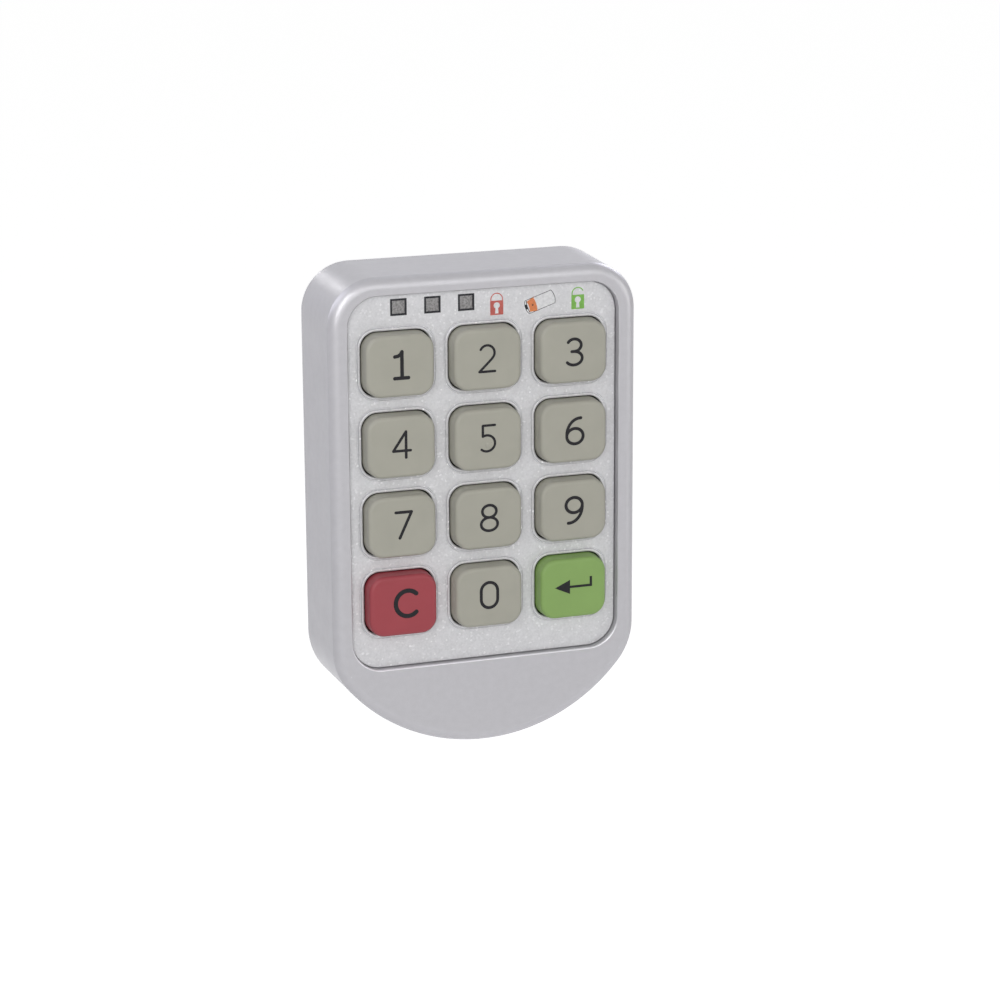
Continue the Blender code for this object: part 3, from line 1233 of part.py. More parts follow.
def make_cam():
    front = BARREL_LENGTH + SEAT_GAP
    back = front + CAM_THICKNESS
    edge = CAM_EDGE_RADIUS
    bm = bmesh.new()
    loft(bm, [
        cam_section(front, edge),
        cam_section(front + edge, 0),
        cam_section(back - edge, 0),
        cam_section(back, edge),
    ])
    crank_cam(bm)
    cam = add_object("cam", mesh_of("cam", bm), STEEL, place(0, 0, BARREL_AXIS_Z))
    half = SPINDLE_SQUARE / 2 + SEAT_GAP
    low = (-half, front - CUT_OVERRUN, BARREL_AXIS_Z - half)
    high = (half, back + CUT_OVERRUN, BARREL_AXIS_Z + half)
    cut(cam, add_cutter("cam_cutter", block_mesh("cam_cutter", low, high)))
    axis = place(0, 0, BARREL_AXIS_Z, ALONG_Y)
    washer_front = back + SEAT_GAP
    washer_back = washer_front + CAM_WASHER_THICKNESS
    bore = CAM_BOLT_DIAMETER + 2 * SEAT_GAP
    turned_ring("cam_washer", CAM_WASHER_DIAMETER, bore, washer_front, washer_back, NICKEL, axis)
    make_cam_bolt(washer_back + SEAT_GAP)


def make_cam_bolt(seat):
    """A hex-head bolt that runs back to the bottom of the spindle's hole."""
    bm = bmesh.new()
    across_corners = CAM_BOLT_HEAD_ACROSS_FLATS / math.cos(math.pi / 6)
    axis = place(0, 0, BARREL_AXIS_Z, ALONG_Y)
    add_cylinder(bm, across_corners, seat, seat + CAM_BOLT_HEAD_HEIGHT, axis, 6)
    bolt = add_object("cam_bolt", mesh_of("cam_bolt", bm), STEEL)
    tip = spindle_levels()[3] - CAM_BOLT_LENGTH + SEAT_GAP
    shank = pins("bolt_shank", [(0, BARREL_AXIS_Z)], CAM_BOLT_DIAMETER, tip, seat + CUT_OVERRUN)
    fuse(bolt, add_cutter("bolt_shank", shank))


def make_position_switch():
    back = BASE_FRONT - SEAT_GAP
    half_width = SWITCH_WIDTH / 2
    half_height = SWITCH_HEIGHT / 2
    low = (-half_width, back - SWITCH_THICKNESS, -half_height)
    high = (half_width, back, half_height)
    add_object(
        "position_switch", block_mesh("position_switch", low, high, CAM_EDGE_RADIUS, 1), CHIP_BLACK,
        place(SWITCH_SIDE, 0, BARREL_AXIS_Z - SWITCH_BELOW_BARREL))


def build():
    make_housing()
    make_label()
    make_keys()
    make_mat()
    make_status_lights()
    make_board()
    make_screws()
    make_tray()
    make_cells()
    make_contacts()
    make_cover()
    make_base()
    make_motor()
    make_worm()
    make_wheel()
    make_barrel()
    make_spindle()
    make_washer_and_nut()
    make_cam()
    make_position_switch()


build()
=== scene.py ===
"""Looks of the electronic cabinet lock, laid out as an add-on and run as a script."""
import bmesh
import bpy
import json
import math
from bpy.props import FloatProperty, FloatVectorProperty, IntProperty, PointerProperty
from mathutils import Matrix, Vector


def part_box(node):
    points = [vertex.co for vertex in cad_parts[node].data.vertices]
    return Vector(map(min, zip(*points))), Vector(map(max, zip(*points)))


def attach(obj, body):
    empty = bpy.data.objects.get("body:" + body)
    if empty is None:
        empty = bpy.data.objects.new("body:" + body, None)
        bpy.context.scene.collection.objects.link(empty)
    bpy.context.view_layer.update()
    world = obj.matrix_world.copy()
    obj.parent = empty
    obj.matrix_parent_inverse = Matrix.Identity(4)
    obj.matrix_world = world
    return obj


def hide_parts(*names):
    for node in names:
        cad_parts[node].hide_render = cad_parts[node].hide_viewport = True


bl_info = {
    "name": "Cabinet Keypad Lock",
    "version": (1, 0, 0),
    "blender": (4, 5, 0),
    "location": "3D View > Sidebar > Cabinet Lock",
    "description": "Models the finished surfaces of a keypad cabinet lock round its CAD frame",
    "category": "Object",
}

MM = 0.001
MERGE = 1e-6
KEYS = ["key_" + name for name in "1 2 3 4 5 6 7 8 9 clear 0 enter".split()]
BASE_SCREWS = ["base_screw_%d" % number for number in (1, 2, 3, 4)]
LOCK_BODY = "lock_body"
DRIVE_BODY = "cam_drive"

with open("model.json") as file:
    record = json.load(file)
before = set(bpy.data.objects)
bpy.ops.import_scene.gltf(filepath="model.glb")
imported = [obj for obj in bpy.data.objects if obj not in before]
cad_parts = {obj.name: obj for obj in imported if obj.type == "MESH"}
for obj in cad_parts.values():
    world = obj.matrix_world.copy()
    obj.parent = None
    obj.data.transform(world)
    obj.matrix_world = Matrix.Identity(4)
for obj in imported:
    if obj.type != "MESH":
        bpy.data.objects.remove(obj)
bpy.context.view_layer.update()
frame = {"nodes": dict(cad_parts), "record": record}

HOUSING_LOW, HOUSING_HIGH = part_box("front_housing")
LABEL_LOW, LABEL_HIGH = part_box("keypad_label")
BASE_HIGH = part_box("base_plate")[1]
BOARD_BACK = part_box("circuit_board")[1].y
COVER_LOW, COVER_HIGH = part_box("battery_cover")
BARREL_LOW, BARREL_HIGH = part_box("barrel")
CAM_LOW, CAM_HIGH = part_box("cam")
BOLT_LOW, BOLT_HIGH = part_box("cam_bolt")
KEY_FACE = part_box("key_1")[0].y
KEY_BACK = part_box("key_1")[1].y


def middle(node):
    """The (x, z) centre of a CAD node."""
    low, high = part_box(node)
    return (low.x + high.x) / 2, (low.z + high.z) / 2


BARREL_AXIS = (0.0, middle("barrel_washer")[1])
FLANGE_RADIUS = (BARREL_HIGH.x - BARREL_LOW.x) / 2


def length(description, millimetres):
    """A size that a user may change, shown as a distance."""
    return FloatProperty(
        description=description, default=millimetres * MM, subtype="DISTANCE", unit="LENGTH",
        precision=5)


def turn(description, degrees):
    return FloatProperty(
        description=description, default=math.radians(degrees), subtype="ANGLE")


def amount(description, value):
    return FloatProperty(description=description, default=value, min=0.0)


def colour(description, *value):
    return FloatVectorProperty(
        description=description, default=value, min=0.0, max=1.0, subtype="COLOR")


class HousingSizes(bpy.types.PropertyGroup):
    """Sizes of the front housing and its recess"""
    draft: length("How far the sides lean in towards the front", 0.3)
    top_radius: length("Radius of the two top corners", 9.5)
    bottom_radius: length("Radius where the sides meet the bottom arc", 13.0)
    arc_radius: length("Radius of the round bottom", 37.0)
    edge_radius: length("Radius of the round front edge", 2.5)
    crease: turn("Angle at which the round edge meets the side wall", 24)
    wall: length("Thickness of the housing's walls", 2.0)
    web: length("Thickness of the wall behind the label", 1.2)
    rim_top: length("Width of the rim above the recess", 3.8)
    rim_side: length("Width of the rim beside the recess", 4.05)
    recess_height: length("Height of the recess for the label", 74.4)
    recess_radius: length("Corner radius of the recess", 6.0)
    recess_edge: length("Small round where the recess meets the rim", 0.32)
    label_gap: length("Gap between the label and the recess wall", 0.15)
    label_edge: length("Radius of the label's outer edge", 0.12)
    web_gap: length("Gap between the label and the web behind it", 0.3)
    boss_radius: length("Radius of the bosses for the base screws", 2.3)
    pilot_radius: length("Radius of the holes in the bosses", 1.4)


class KeySizes(bpy.types.PropertyGroup):
    """Sizes of the keys, their wells and their legends"""
    hole_width: length("Width of each key hole", 14.3)
    hole_height: length("Height of each key hole", 12.8)
    hole_radius: length("Corner radius of each key hole", 3.2)
    gap: length("Gap between a key and its hole", 0.14)
    flange: length("How far a key's flange reaches behind the web", 0.6)
    flange_depth: length("Thickness of a key's flange", 0.8)
    cap_radius: length("Corner radius of a key", 3.3)
    taper: length("How far a key narrows towards its top", 0.2)
    edge_radius: length("Radius of a key's top edge", 0.80)
    edge_start: turn("Angle at which the top edge leaves the key's side", 12)
    edge_flat: length("Flat border inside the round top edge", 0.15)
    collar_width: length("Width of the raised collar round a hole", 0.62)
    collar_rise: length("Height of the collar above the label", 0.28)
    groove_width: length("Width of the pressed groove round a collar", 0.28)
    groove_depth: length("Depth of the pressed groove", 0.13)
    legend_height: length("Height of the numbers", 5.15)
    ink: length("How far the ink stands above the key", 0.015)
    dot_diameter: length("Diameter of the raised dot on the middle key", 1.45)
    dot_right: length("Place of the dot to the right of the key's middle", 0.1)
    dot_drop: length("Place of the dot below the key's middle", 1.1)
    dot_rise: length("Height of the raised dot", 0.22)


class WindowSizes(bpy.types.PropertyGroup):
    """Sizes of the status windows and the pictograms beside them"""
    border_size: length("Outer size of a window's dark border", 3.3)
    opening: length("Size of the clear square inside the border", 2.55)
    lens_depth: length("Thickness of a lens behind the label", 0.5)
    lens_sunk: length("How far a lens lies below the label's face", 0.12)
    print_rise: length("Thickness of the printed pictograms", 0.02)
    lock_drop: length("Top of a padlock's body below the recess's top", 2.72)
    lock_width: length("Width of a padlock's body", 2.65)
    lock_height: length("Height of a padlock's body", 2.82)
    shackle: length("Width of a shackle's line", 0.23)
    shackle_rise: length("Height of a shackle above its body", 1.42)
    closed_place: length("Place of the closed padlock to the right", 2.90)
    open_place: length("Place of the open padlock to the right", 19.55)
    cell_place: length("Place of the printed cell to the right", 11.75)
    cell_drop: length("Middle of the cell below the recess's top", 3.60)
    cell_half: length("Half the length of the printed cell", 2.8)
    cell_half_height: length("Half the height of the printed cell", 1.36)
    cell_bulge: length("How far the cell's ends bulge", 0.34)
    cell_line: length("Width of the cell's outline", 0.14)
    band_place: length("Middle of the coloured band from the cell's left end", 1.02)
    band_width: length("Width of the coloured band", 2.15)
    pole_width: length("Width of the cell's pole", 0.55)
    pole_height: length("Height of the cell's pole", 1.0)
    cell_tilt: turn("How far the cell leans", 18.6)


class FastenerSizes(bpy.types.PropertyGroup):
    """Sizes of the base, the threads, the screws and the cam behind the door"""
    plate_depth: length("Thickness of the base plate", 2.4)
    gap: length("Play round the pieces behind the door", 0.3)
    plate_edge: length("Round on the base plate's edges", 0.3)
    screw_hole: length("Radius of the holes for the base screws", 1.4)
    screw_sink: length("Radius of the sinks for their heads", 2.35)
    sink_depth: length("Depth of the sinks for their heads", 1.6)
    cover_edge: length("Round on the battery cover's edges", 0.2)
    cover_radius: length("Corner radius of the battery cover", 2.0)
    cover_hole: length("Radius of the hole for the cover screw", 1.0)
    cover_sink: length("Radius of the sink for its head", 1.55)
    cover_sink_depth: length("Depth of the sink for its head", 0.75)
    ledge: length("Width of the ledge that the battery cover rests on", 1.0)
    tab_length: length("Length of the battery cover's tab", 2.6)
    tab_width: length("Width of the battery cover's tab", 7.0)
    tab_radius: length("Corner radius of the tab", 1.0)
    thread_start: length("Where the first turn of the thread begins", 0.5)
    thread_pitch: length("Pitch of the barrel's thread", 1.0)
    thread_depth: length("Depth of the barrel's thread", 0.55)
    flat_depth: length("Depth of the two flats on the barrel", 1.25)
    flange_width: length("How far the flange stands out from the barrel", 1.5)
    flange_depth: length("Thickness of the barrel's flange", 1.2)
    neck_end: length("Where the neck behind the flange ends", 1.3)
    bore_radius: length("Radius of the barrel's bore", 4.3)
    cam_hub: length("Radius of the cam's round end", 9.5)
    cam_tip: length("Half the width of the cam's tip", 7.0)
    cam_edge: length("Round on the cam's edges", 0.4)
    cam_bore: length("Radius of the cam washer's bore", 2.0)
    bolt_flats: length("Half the width across the bolt head's flats", 4.0)
    bolt_shank: length("Radius of the bolt's shank", 1.7)
    crank: length("How far the cam is offset", 1.5)
    crank_start: length("Where the cam's crank begins", 15.0)
    crank_run: length("Length of the cam's crank", 3.0)
    square: length("Half the width of the cam's square hole", 3.05)
    slot_width: length("Width of the wings of a screw's recess", 0.55)
    round_steps: IntProperty(
        description="Segments round a turned piece", default=96, min=24)


class Finishes(bpy.types.PropertyGroup):
    """Colours of the finishes"""
    housing: colour("Satin silver-grey paint", 0.475, 0.468, 0.490)
    film: colour("Silver film", 0.655, 0.653, 0.668)
    key: colour("Grey-beige silicone", 0.440, 0.431, 0.366)
    key_red: colour("Red silicone", 0.362, 0.056, 0.070)
    key_green: colour("Green silicone", 0.270, 0.432, 0.130)
    ink: colour("Dark grey ink", 0.022, 0.021, 0.024)
    red_print: colour("Red print", 0.530, 0.122, 0.101)
    green_print: colour("Green print", 0.217, 0.490, 0.094)
    orange_print: colour("Orange print", 0.730, 0.238, 0.092)
    base: colour("Dark grey moulding", 0.030, 0.031, 0.034)
    steel: colour("Zinc plated steel", 0.560, 0.565, 0.575)
    nickel: colour("Nickel plated brass", 0.640, 0.625, 0.590)


class StudioLight(bpy.types.PropertyGroup):
    """Strengths of the surroundings and the floor"""
    ambient: amount("Even light from all round", 0.08)
    mirrored: amount("How bright the surroundings look in reflections", 1.0)
    floor_glow: amount("How much the floor is lifted to white for the camera", 0.93)
    floor_drop: length("Distance of the floor below the lock", 410.0)


class CameraView(bpy.types.PropertyGroup):
    """Where the camera stands and how it looks"""
    place: FloatVectorProperty(
        description="Camera position", default=(-0.1868, -0.5745, 0.1598),
        subtype="TRANSLATION", unit="LENGTH")
    yaw: turn("Turn to the right", 18.88)
    pitch: turn("Tilt downwards", 15.08)
    roll: turn("Turn of the frame", -0.29)
    lens: amount("Focal length in millimetres on a 36 mm sensor", 111.8)


def sizes():
    return bpy.context.scene


# Selection and editing

def pick_nothing():
    bpy.ops.object.select_all(action="DESELECT")


def pick_all():
    bpy.ops.mesh.select_all(action="SELECT")


def apply_place():
    bpy.ops.object.transform_apply(location=True, rotation=True, scale=True)


def select_only(piece):
    pick_nothing()
    piece.select_set(True)
    bpy.context.view_layer.objects.active = piece


def open_edit(piece, kind="FACE"):
    """Opens a piece for editing with all of it picked."""
    select_only(piece)
    bpy.ops.object.mode_set(mode="EDIT")
    bpy.ops.mesh.select_mode(type=kind)
    pick_all()


def close_edit():
    bpy.ops.object.mode_set(mode="OBJECT")


def pick(piece, kind, test):
    """Selects the edges or faces that pass the test."""
    bpy.ops.mesh.select_mode(type=kind)
    bpy.ops.mesh.select_all(action="DESELECT")
    mesh = bmesh.from_edit_mesh(piece.data)
    for item in mesh.edges if kind == "EDGE" else mesh.faces:
        if test(item):
            item.select_set(True)
    mesh.select_flush_mode()
    bmesh.update_edit_mesh(piece.data)


def pick_end(piece, sign):
    """Selects the face that lies furthest forward (-1) or back (1)."""
    mesh = bmesh.from_edit_mesh(piece.data)
    limit = max(sign * face.calc_center_median().y for face in mesh.faces)
    slack = 1e-7
    pick(piece, "FACE", lambda face: (
        sign * face.calc_center_median().y > limit - slack and sign * face.normal.y > 0.9))


def move_points(piece, place):
    """Moves each vertex to where the place function puts it."""
    open_edit(piece, "VERT")
    mesh = bmesh.from_edit_mesh(piece.data)
    for vert in mesh.verts:
        vert.co = place(vert.co)
    bmesh.update_edit_mesh(piece.data)
    close_edit()


def named(name):
    piece = bpy.context.view_layer.objects.active
    piece.name = name
    piece.data.name = name
    return piece


def modify(piece, kind, **values):
    """Gives a piece one modifier and applies it."""
    select_only(piece)
    modifier = piece.modifiers.new(kind.lower(), kind)
    for name, value in values.items():
        setattr(modifier, name, value)
    bpy.ops.object.modifier_apply(modifier=modifier.name)


def extrude(x=0.0, y=0.0, z=0.0):
    bpy.ops.mesh.extrude_region_move(TRANSFORM_OT_translate={"value": (x, y, z)})


def thicken(depth):
    """Makes the outline in edit mode a solid of a depth along Y and leaves edit mode."""
    pick_all()
    extrude(y=depth)
    pick_all()
    bpy.ops.mesh.normals_make_consistent(inside=False)
    close_edit()


def start_outline(name, place):
    """A single picked point, from which an outline is drawn in edit mode."""
    pick_nothing()
    bpy.ops.mesh.primitive_plane_add(size=MM, location=place)
    apply_place()
    piece = named(name)
    open_edit(piece, "VERT")
    bpy.ops.mesh.merge(type="CENTER")
    return piece


def spin_end(x, y, z, angle, steps):
    """Sweeps the picked end point clockwise, seen from the front, round a centre."""
    bpy.ops.mesh.spin(steps=steps, angle=angle, center=(x, y, z), axis=(0, -1, 0))


def close_outline():
    """Merges the ends of an outline in edit mode and fills it."""
    pick_all()
    bpy.ops.mesh.remove_doubles(threshold=MERGE)
    bpy.ops.mesh.edge_face_add()


def add_box(name, low, high):
    low, high = Vector(low), Vector(high)
    pick_nothing()
    bpy.ops.mesh.primitive_cube_add(size=1.0, location=(low + high) / 2, scale=high - low)
    apply_place()
    return named(name)


def add_rod(name, radius, start, end, centre=(0.0, 0.0), steps=64):
    """A rod along Y from start to end, round an (x, z) centre."""
    pick_nothing()
    bpy.ops.mesh.primitive_cone_add(
        vertices=steps, radius1=radius, radius2=radius, depth=end - start,
        location=(centre[0], (start + end) / 2, centre[1]), rotation=(-math.pi / 2, 0, 0))
    apply_place()
    return named(name)


def rounded_block(name, centre, width, height, front, back, radius=0.0, steps=12):
    """A block across the face, given by its centre (x, z), its planes and its corners."""
    x, z = centre
    block = add_box(
        name, (x - width / 2, front, z - height / 2), (x + width / 2, back, z + height / 2))
    if radius > 0:
        open_edit(block, "EDGE")
        pick(block, "EDGE", lambda edge: (
            abs(edge.verts[1].co.y - edge.verts[0].co.y) > 0.9 * edge.calc_length()))
        bpy.ops.mesh.bevel(offset=radius, segments=steps, affect="EDGES", clamp_overlap=False)
        close_edit()
    return block


def quarter_round(radius, steps, start=0.0):
    """Steps of a round that begins at an angle to the side wall and ends flat."""
    angles = [start + (math.pi / 2 - start) * index / steps for index in range(steps + 1)]
    return [
        (radius * (math.cos(near) - math.cos(far)), radius * (math.sin(far) - math.sin(near)))
        for near, far in zip(angles, angles[1:])]


def shape_end(piece, profile, *signs):
    """Insets the front (-1) or back (1) face along (inward, outward) steps."""
    open_edit(piece)
    for sign in signs or (-1,):
        pick_end(piece, sign)
        for inward, outward in profile:
            bpy.ops.mesh.inset(thickness=inward, depth=outward, use_even_offset=True)
    close_edit()


def join(name, pieces):
    pick_nothing()
    for piece in pieces:
        piece.select_set(True)
    bpy.context.view_layer.objects.active = pieces[0]
    if len(pieces) > 1:
        bpy.ops.object.join()
    return named(name)


def cut(piece, tool, operation="DIFFERENCE"):
    """Applies a Boolean with a tool piece, which is then removed."""
    modify(
        piece, "BOOLEAN", operation=operation, solver="EXACT", use_self=operation == "UNION",
        object=tool)
    bpy.data.objects.remove(tool, do_unlink=True)
    return piece


def fuse(piece, tool):
    return cut(piece, tool, "UNION")


def clean(piece, distance=MERGE):
    open_edit(piece, "VERT")
    bpy.ops.mesh.remove_doubles(threshold=distance)
    bpy.ops.mesh.normals_make_consistent(inside=False)
    close_edit()


def soften(piece, width, steps=3):
    """Rounds every edge sharper than 40 degrees."""
    modify(
        piece, "BEVEL", width=width, segments=steps, limit_method="ANGLE",
        angle_limit=math.radians(40), use_clamp_overlap=True)


def shade(piece, degrees=32):
    """Smooth shading that large flat faces keep flat."""
    select_only(piece)
    bpy.ops.object.shade_smooth_by_angle(angle=math.radians(degrees))
    modify(piece, "WEIGHTED_NORMAL", keep_sharp=True)


def copy_piece(piece, name, shift):
    """A copy with its own mesh, moved by the shift."""
    select_only(piece)
    bpy.ops.object.duplicate(linked=False)
    bpy.ops.transform.translate(value=shift)
    apply_place()
    return named(name)


def settle(piece, body, slot, node=None, finish=None):
    """Gives a piece its finish, chosen by its record slot unless a finish is named, attaches it to
    its body and hides the node that it stands for.
    """
    piece.data.materials.clear()
    piece.data.materials.append(FINISH[finish or slot])
    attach(piece, body)
    if node:
        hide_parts(node)


def complete(piece, body, slot, node, degrees=32):
    """Cleans and shades a piece before it is settled."""
    clean(piece)
    shade(piece, degrees)
    settle(piece, body, slot, node)


# Finishes

def shade_of(value, factor):
    return tuple(min(channel * factor, 1.0) for channel in value)


def math_node(tree, operation, first, second=0.0):
    """One step of arithmetic between sockets or plain values."""
    node = tree.nodes.new("ShaderNodeMath")
    node.operation = operation
    for value, socket in zip((first, second), node.inputs):
        if isinstance(value, float):
            socket.default_value = value
        else:
            tree.links.new(value, socket)
    return node.outputs[0]


class Nodes:
    """A short way to build one node material."""

    def __init__(self, name):
        self.material = bpy.data.materials.new(name)
        self.material.use_nodes = True
        self.tree = self.material.node_tree
        self.shader = self.tree.nodes["Principled BSDF"]
        self.place = self.add("TexCoord").outputs["Object"]

    def add(self, kind, **values):
        """A node whose inputs are set to values or linked to sockets."""
        node = self.tree.nodes.new("ShaderNode" + kind)
        for name, value in values.items():
            socket = node.inputs[name.replace("_", " ")]
            if isinstance(value, bpy.types.NodeSocket):
                self.tree.links.new(value, socket)
            else:
                socket.default_value = value
        return node

    def set(self, **values):
        for name, value in values.items():
            self.shader.inputs[name.replace("_", " ")].default_value = value

    def noise(self, scale, detail=2.0, roughness=0.5, place=None):
        return self.add(
            "TexNoise", Scale=scale, Detail=detail, Roughness=roughness,
            Vector=place or self.place).outputs["Fac"]

    def cells(self, scale, output="Color"):
        return self.add("TexVoronoi", Scale=scale, Vector=self.place).outputs[output]

    def along(self, axis):
        """One coordinate of the place on the surface."""
        return self.add("SeparateXYZ", Vector=self.place).outputs[axis]

    def spread(self, value, low, high, new_low=0.0, new_high=1.0):
        return self.add(
            "MapRange", Value=value, From_Min=low, From_Max=high, To_Min=new_low,
            To_Max=new_high).outputs["Result"]

    def times(self, first, second):
        return math_node(self.tree, "MULTIPLY", first, second)

    def blend(self, share, first, second):
        """Mixes two colours, each a tuple or a socket."""
        node = self.tree.nodes.new("ShaderNodeMix")
        node.data_type = "RGBA"
        self.tree.links.new(share, node.inputs["Factor"])
        for value, socket in ((first, node.inputs[6]), (second, node.inputs[7])):
            if isinstance(value, tuple):
                socket.default_value = (*value, 1.0)
            else:
                self.tree.links.new(value, socket)
        return node.outputs[2]

    def mottle(self, value, pattern, dark, light, high=0.7, low=0.3):
        """A darker and a lighter shade of a colour, mixed by a pattern."""
        return self.blend(
            self.spread(pattern, low, high), shade_of(value, dark), shade_of(value, light))

    def paint(self, value):
        self.tree.links.new(value, self.shader.inputs["Base Color"])

    def gloss(self, pattern, least, most, low=0.3, high=0.7):
        """Roughness that follows a pattern."""
        level = self.spread(pattern, low, high, least, most)
        self.tree.links.new(level, self.shader.inputs["Roughness"])

    def bump(self, height, strength, distance):
        node = self.add("Bump", Strength=strength, Distance=distance * MM, Height=height)
        self.tree.links.new(node.outputs["Normal"], self.shader.inputs["Normal"])


def painted_highlight_mask(nodes):
    """Picks out the rounded lower edge of the recess, which is painted much lighter as a painted
    highlight.
    """
    half, low, _ = recess_box()
    front = HOUSING_LOW.y
    side = math_node(nodes.tree, "ABSOLUTE", nodes.along("X"))
    band = None
    for value, start, outer, inner in (
            (nodes.along("Y"), front, 0.01, 0.04), (nodes.along("Y"), front, 0.36, 0.30),
            (nodes.along("Z"), low, -0.9, -0.8), (nodes.along("Z"), low, 5.0, 1.5),
            (side, half, 0.6, 0.4)):
        limit = nodes.spread(value, start + outer * MM, start + inner * MM)
        band = nodes.times(band, limit) if band else limit
    return band


def housing_paint(tone):
    """Satin silver paint with fine flake, a faint orange peel and a painted highlight along the
    recess's lower edge.
    """
    nodes = Nodes("housing_paint")
    base = nodes.mottle(tone, nodes.noise(700.0, 3.0), 0.975, 1.025)
    sparkle = nodes.spread(nodes.cells(9000.0), 0.0, 1.0, 0.0, 0.10)
    paint = nodes.blend(sparkle, base, shade_of(tone, 1.35))
    # Painted highlight: the rounded lower edge of the recess is painted much lighter than the rest
    # of the paint.
    nodes.paint(nodes.blend(painted_highlight_mask(nodes), paint, shade_of(tone, 1.75)))
    nodes.gloss(nodes.noise(160.0), 0.36, 0.42)
    nodes.set(Metallic=0.45, Specular_IOR_Level=0.5)
    nodes.bump(nodes.noise(1500.0, 3.0), 0.10, 0.03)
    return nodes.material


def label_film(tone):
    """Silver film with scattered bright glitter."""
    nodes = Nodes("label_film")
    grain = nodes.noise(2400.0, 2.0)
    base = nodes.mottle(tone, grain, 0.92, 1.04)
    cloud = nodes.spread(nodes.noise(800.0, 3.0), 0.45, 0.70, 0.0, 0.6)
    base = nodes.blend(cloud, base, shade_of(tone, 1.10))
    fine = nodes.spread(nodes.cells(2600.0), 0.78, 0.97, 0.0, 0.5)
    soft = nodes.blend(fine, base, shade_of(tone, 1.5))
    chance = nodes.spread(nodes.cells(1650.0), 0.85, 0.92)
    centre = nodes.spread(nodes.cells(1650.0, "Distance"), 0.52, 0.25)
    nodes.paint(nodes.blend(nodes.times(chance, centre), soft, (1.0, 1.0, 1.0)))
    nodes.gloss(grain, 0.34, 0.46, 0.2, 0.8)
    nodes.set(Metallic=0.25)
    nodes.bump(grain, 0.12, 0.04)
    return nodes.material


def silicone(name, value):
    """Smooth silicone with a faint cloudiness, painted shade that darkens it at the foot and a very
    fine skin.
    """
    nodes = Nodes(name)
    tint = nodes.mottle(value, nodes.noise(220.0, 3.0), 0.97, 1.03)
    # Painted shade: the silicone darkens towards its foot, deep in the gap behind the label, where
    # shade falls.
    foot = nodes.spread(nodes.along("Y"), LABEL_LOW.y + 0.25 * MM, LABEL_LOW.y + 0.55 * MM)
    nodes.paint(nodes.blend(foot, tint, shade_of(value, 0.16)))
    nodes.gloss(nodes.noise(500.0), 0.46, 0.54)
    nodes.set(Specular_IOR_Level=0.45)
    nodes.bump(nodes.noise(3200.0, 2.0), 0.06, 0.02)
    return nodes.material


def printed(name, value, roughness=0.5, shine=0.4):
    """Screen-printed ink, slightly uneven."""
    nodes = Nodes(name)
    cover = nodes.noise(1800.0, 3.0)
    nodes.paint(nodes.mottle(value, cover, 0.92, 1.18, 0.75))
    nodes.set(Roughness=roughness, Specular_IOR_Level=shine)
    nodes.bump(cover, 0.08, 0.01)
    return nodes.material


def moulding(name, value, roughness=0.55, texture=900.0):
    """Moulded plastic with a spark-eroded texture."""
    nodes = Nodes(name)
    grain = nodes.noise(texture, 4.0, 0.6)
    nodes.paint(nodes.mottle(value, grain, 0.85, 1.2))
    nodes.gloss(grain, roughness - 0.06, roughness + 0.06)
    nodes.bump(grain, 0.35, 0.06)
    return nodes.material


def plated(name, value, roughness, brush):
    """Plated metal with faint brushing along one axis and small stains."""
    nodes = Nodes(name)
    stretched = nodes.add("Mapping", Scale=brush, Vector=nodes.place).outputs["Vector"]
    lines = nodes.noise(900.0, 3.0, 0.6, stretched)
    nodes.paint(nodes.mottle(value, nodes.noise(60.0, 4.0, 0.6), 0.9, 1.06, low=0.35))
    nodes.gloss(lines, roughness - 0.07, roughness + 0.07)
    nodes.set(Metallic=1.0)
    nodes.bump(lines, 0.10, 0.03)
    return nodes.material


def window_lens():
    """A grey diffusing lens with a coarse grain."""
    nodes = Nodes("window_lens")
    grain = nodes.noise(2400.0, 3.0, 0.7)
    nodes.paint(nodes.blend(
        nodes.spread(grain, 0.36, 0.66), (0.18, 0.174, 0.174), (0.41, 0.40, 0.40)))
    nodes.set(Roughness=0.30)
    nodes.bump(grain, 0.5, 0.06)
    return nodes.material


def cell_jacket():
    """A cell's plain wrapper, dark at one end."""
    nodes = Nodes("cell_jacket")
    nodes.paint(nodes.blend(
        nodes.spread(nodes.along("X"), -0.2 * MM, 0.2 * MM), (0.05, 0.05, 0.055),
        (0.45, 0.30, 0.10)))
    nodes.gloss(nodes.noise(200.0), 0.22, 0.32)
    nodes.set(Metallic=0.3)
    return nodes.material


def circuit_resist():
    """Green solder resist with lighter tracks."""
    nodes = Nodes("circuit_resist")
    tracks = nodes.spread(nodes.cells(320.0, "Distance"), 0.42, 0.46)
    nodes.paint(nodes.blend(tracks, (0.015, 0.13, 0.05), (0.03, 0.22, 0.08)))
    nodes.set(Roughness=0.30)
    nodes.bump(tracks, 0.2, 0.04)
    return nodes.material


FINISH = {}


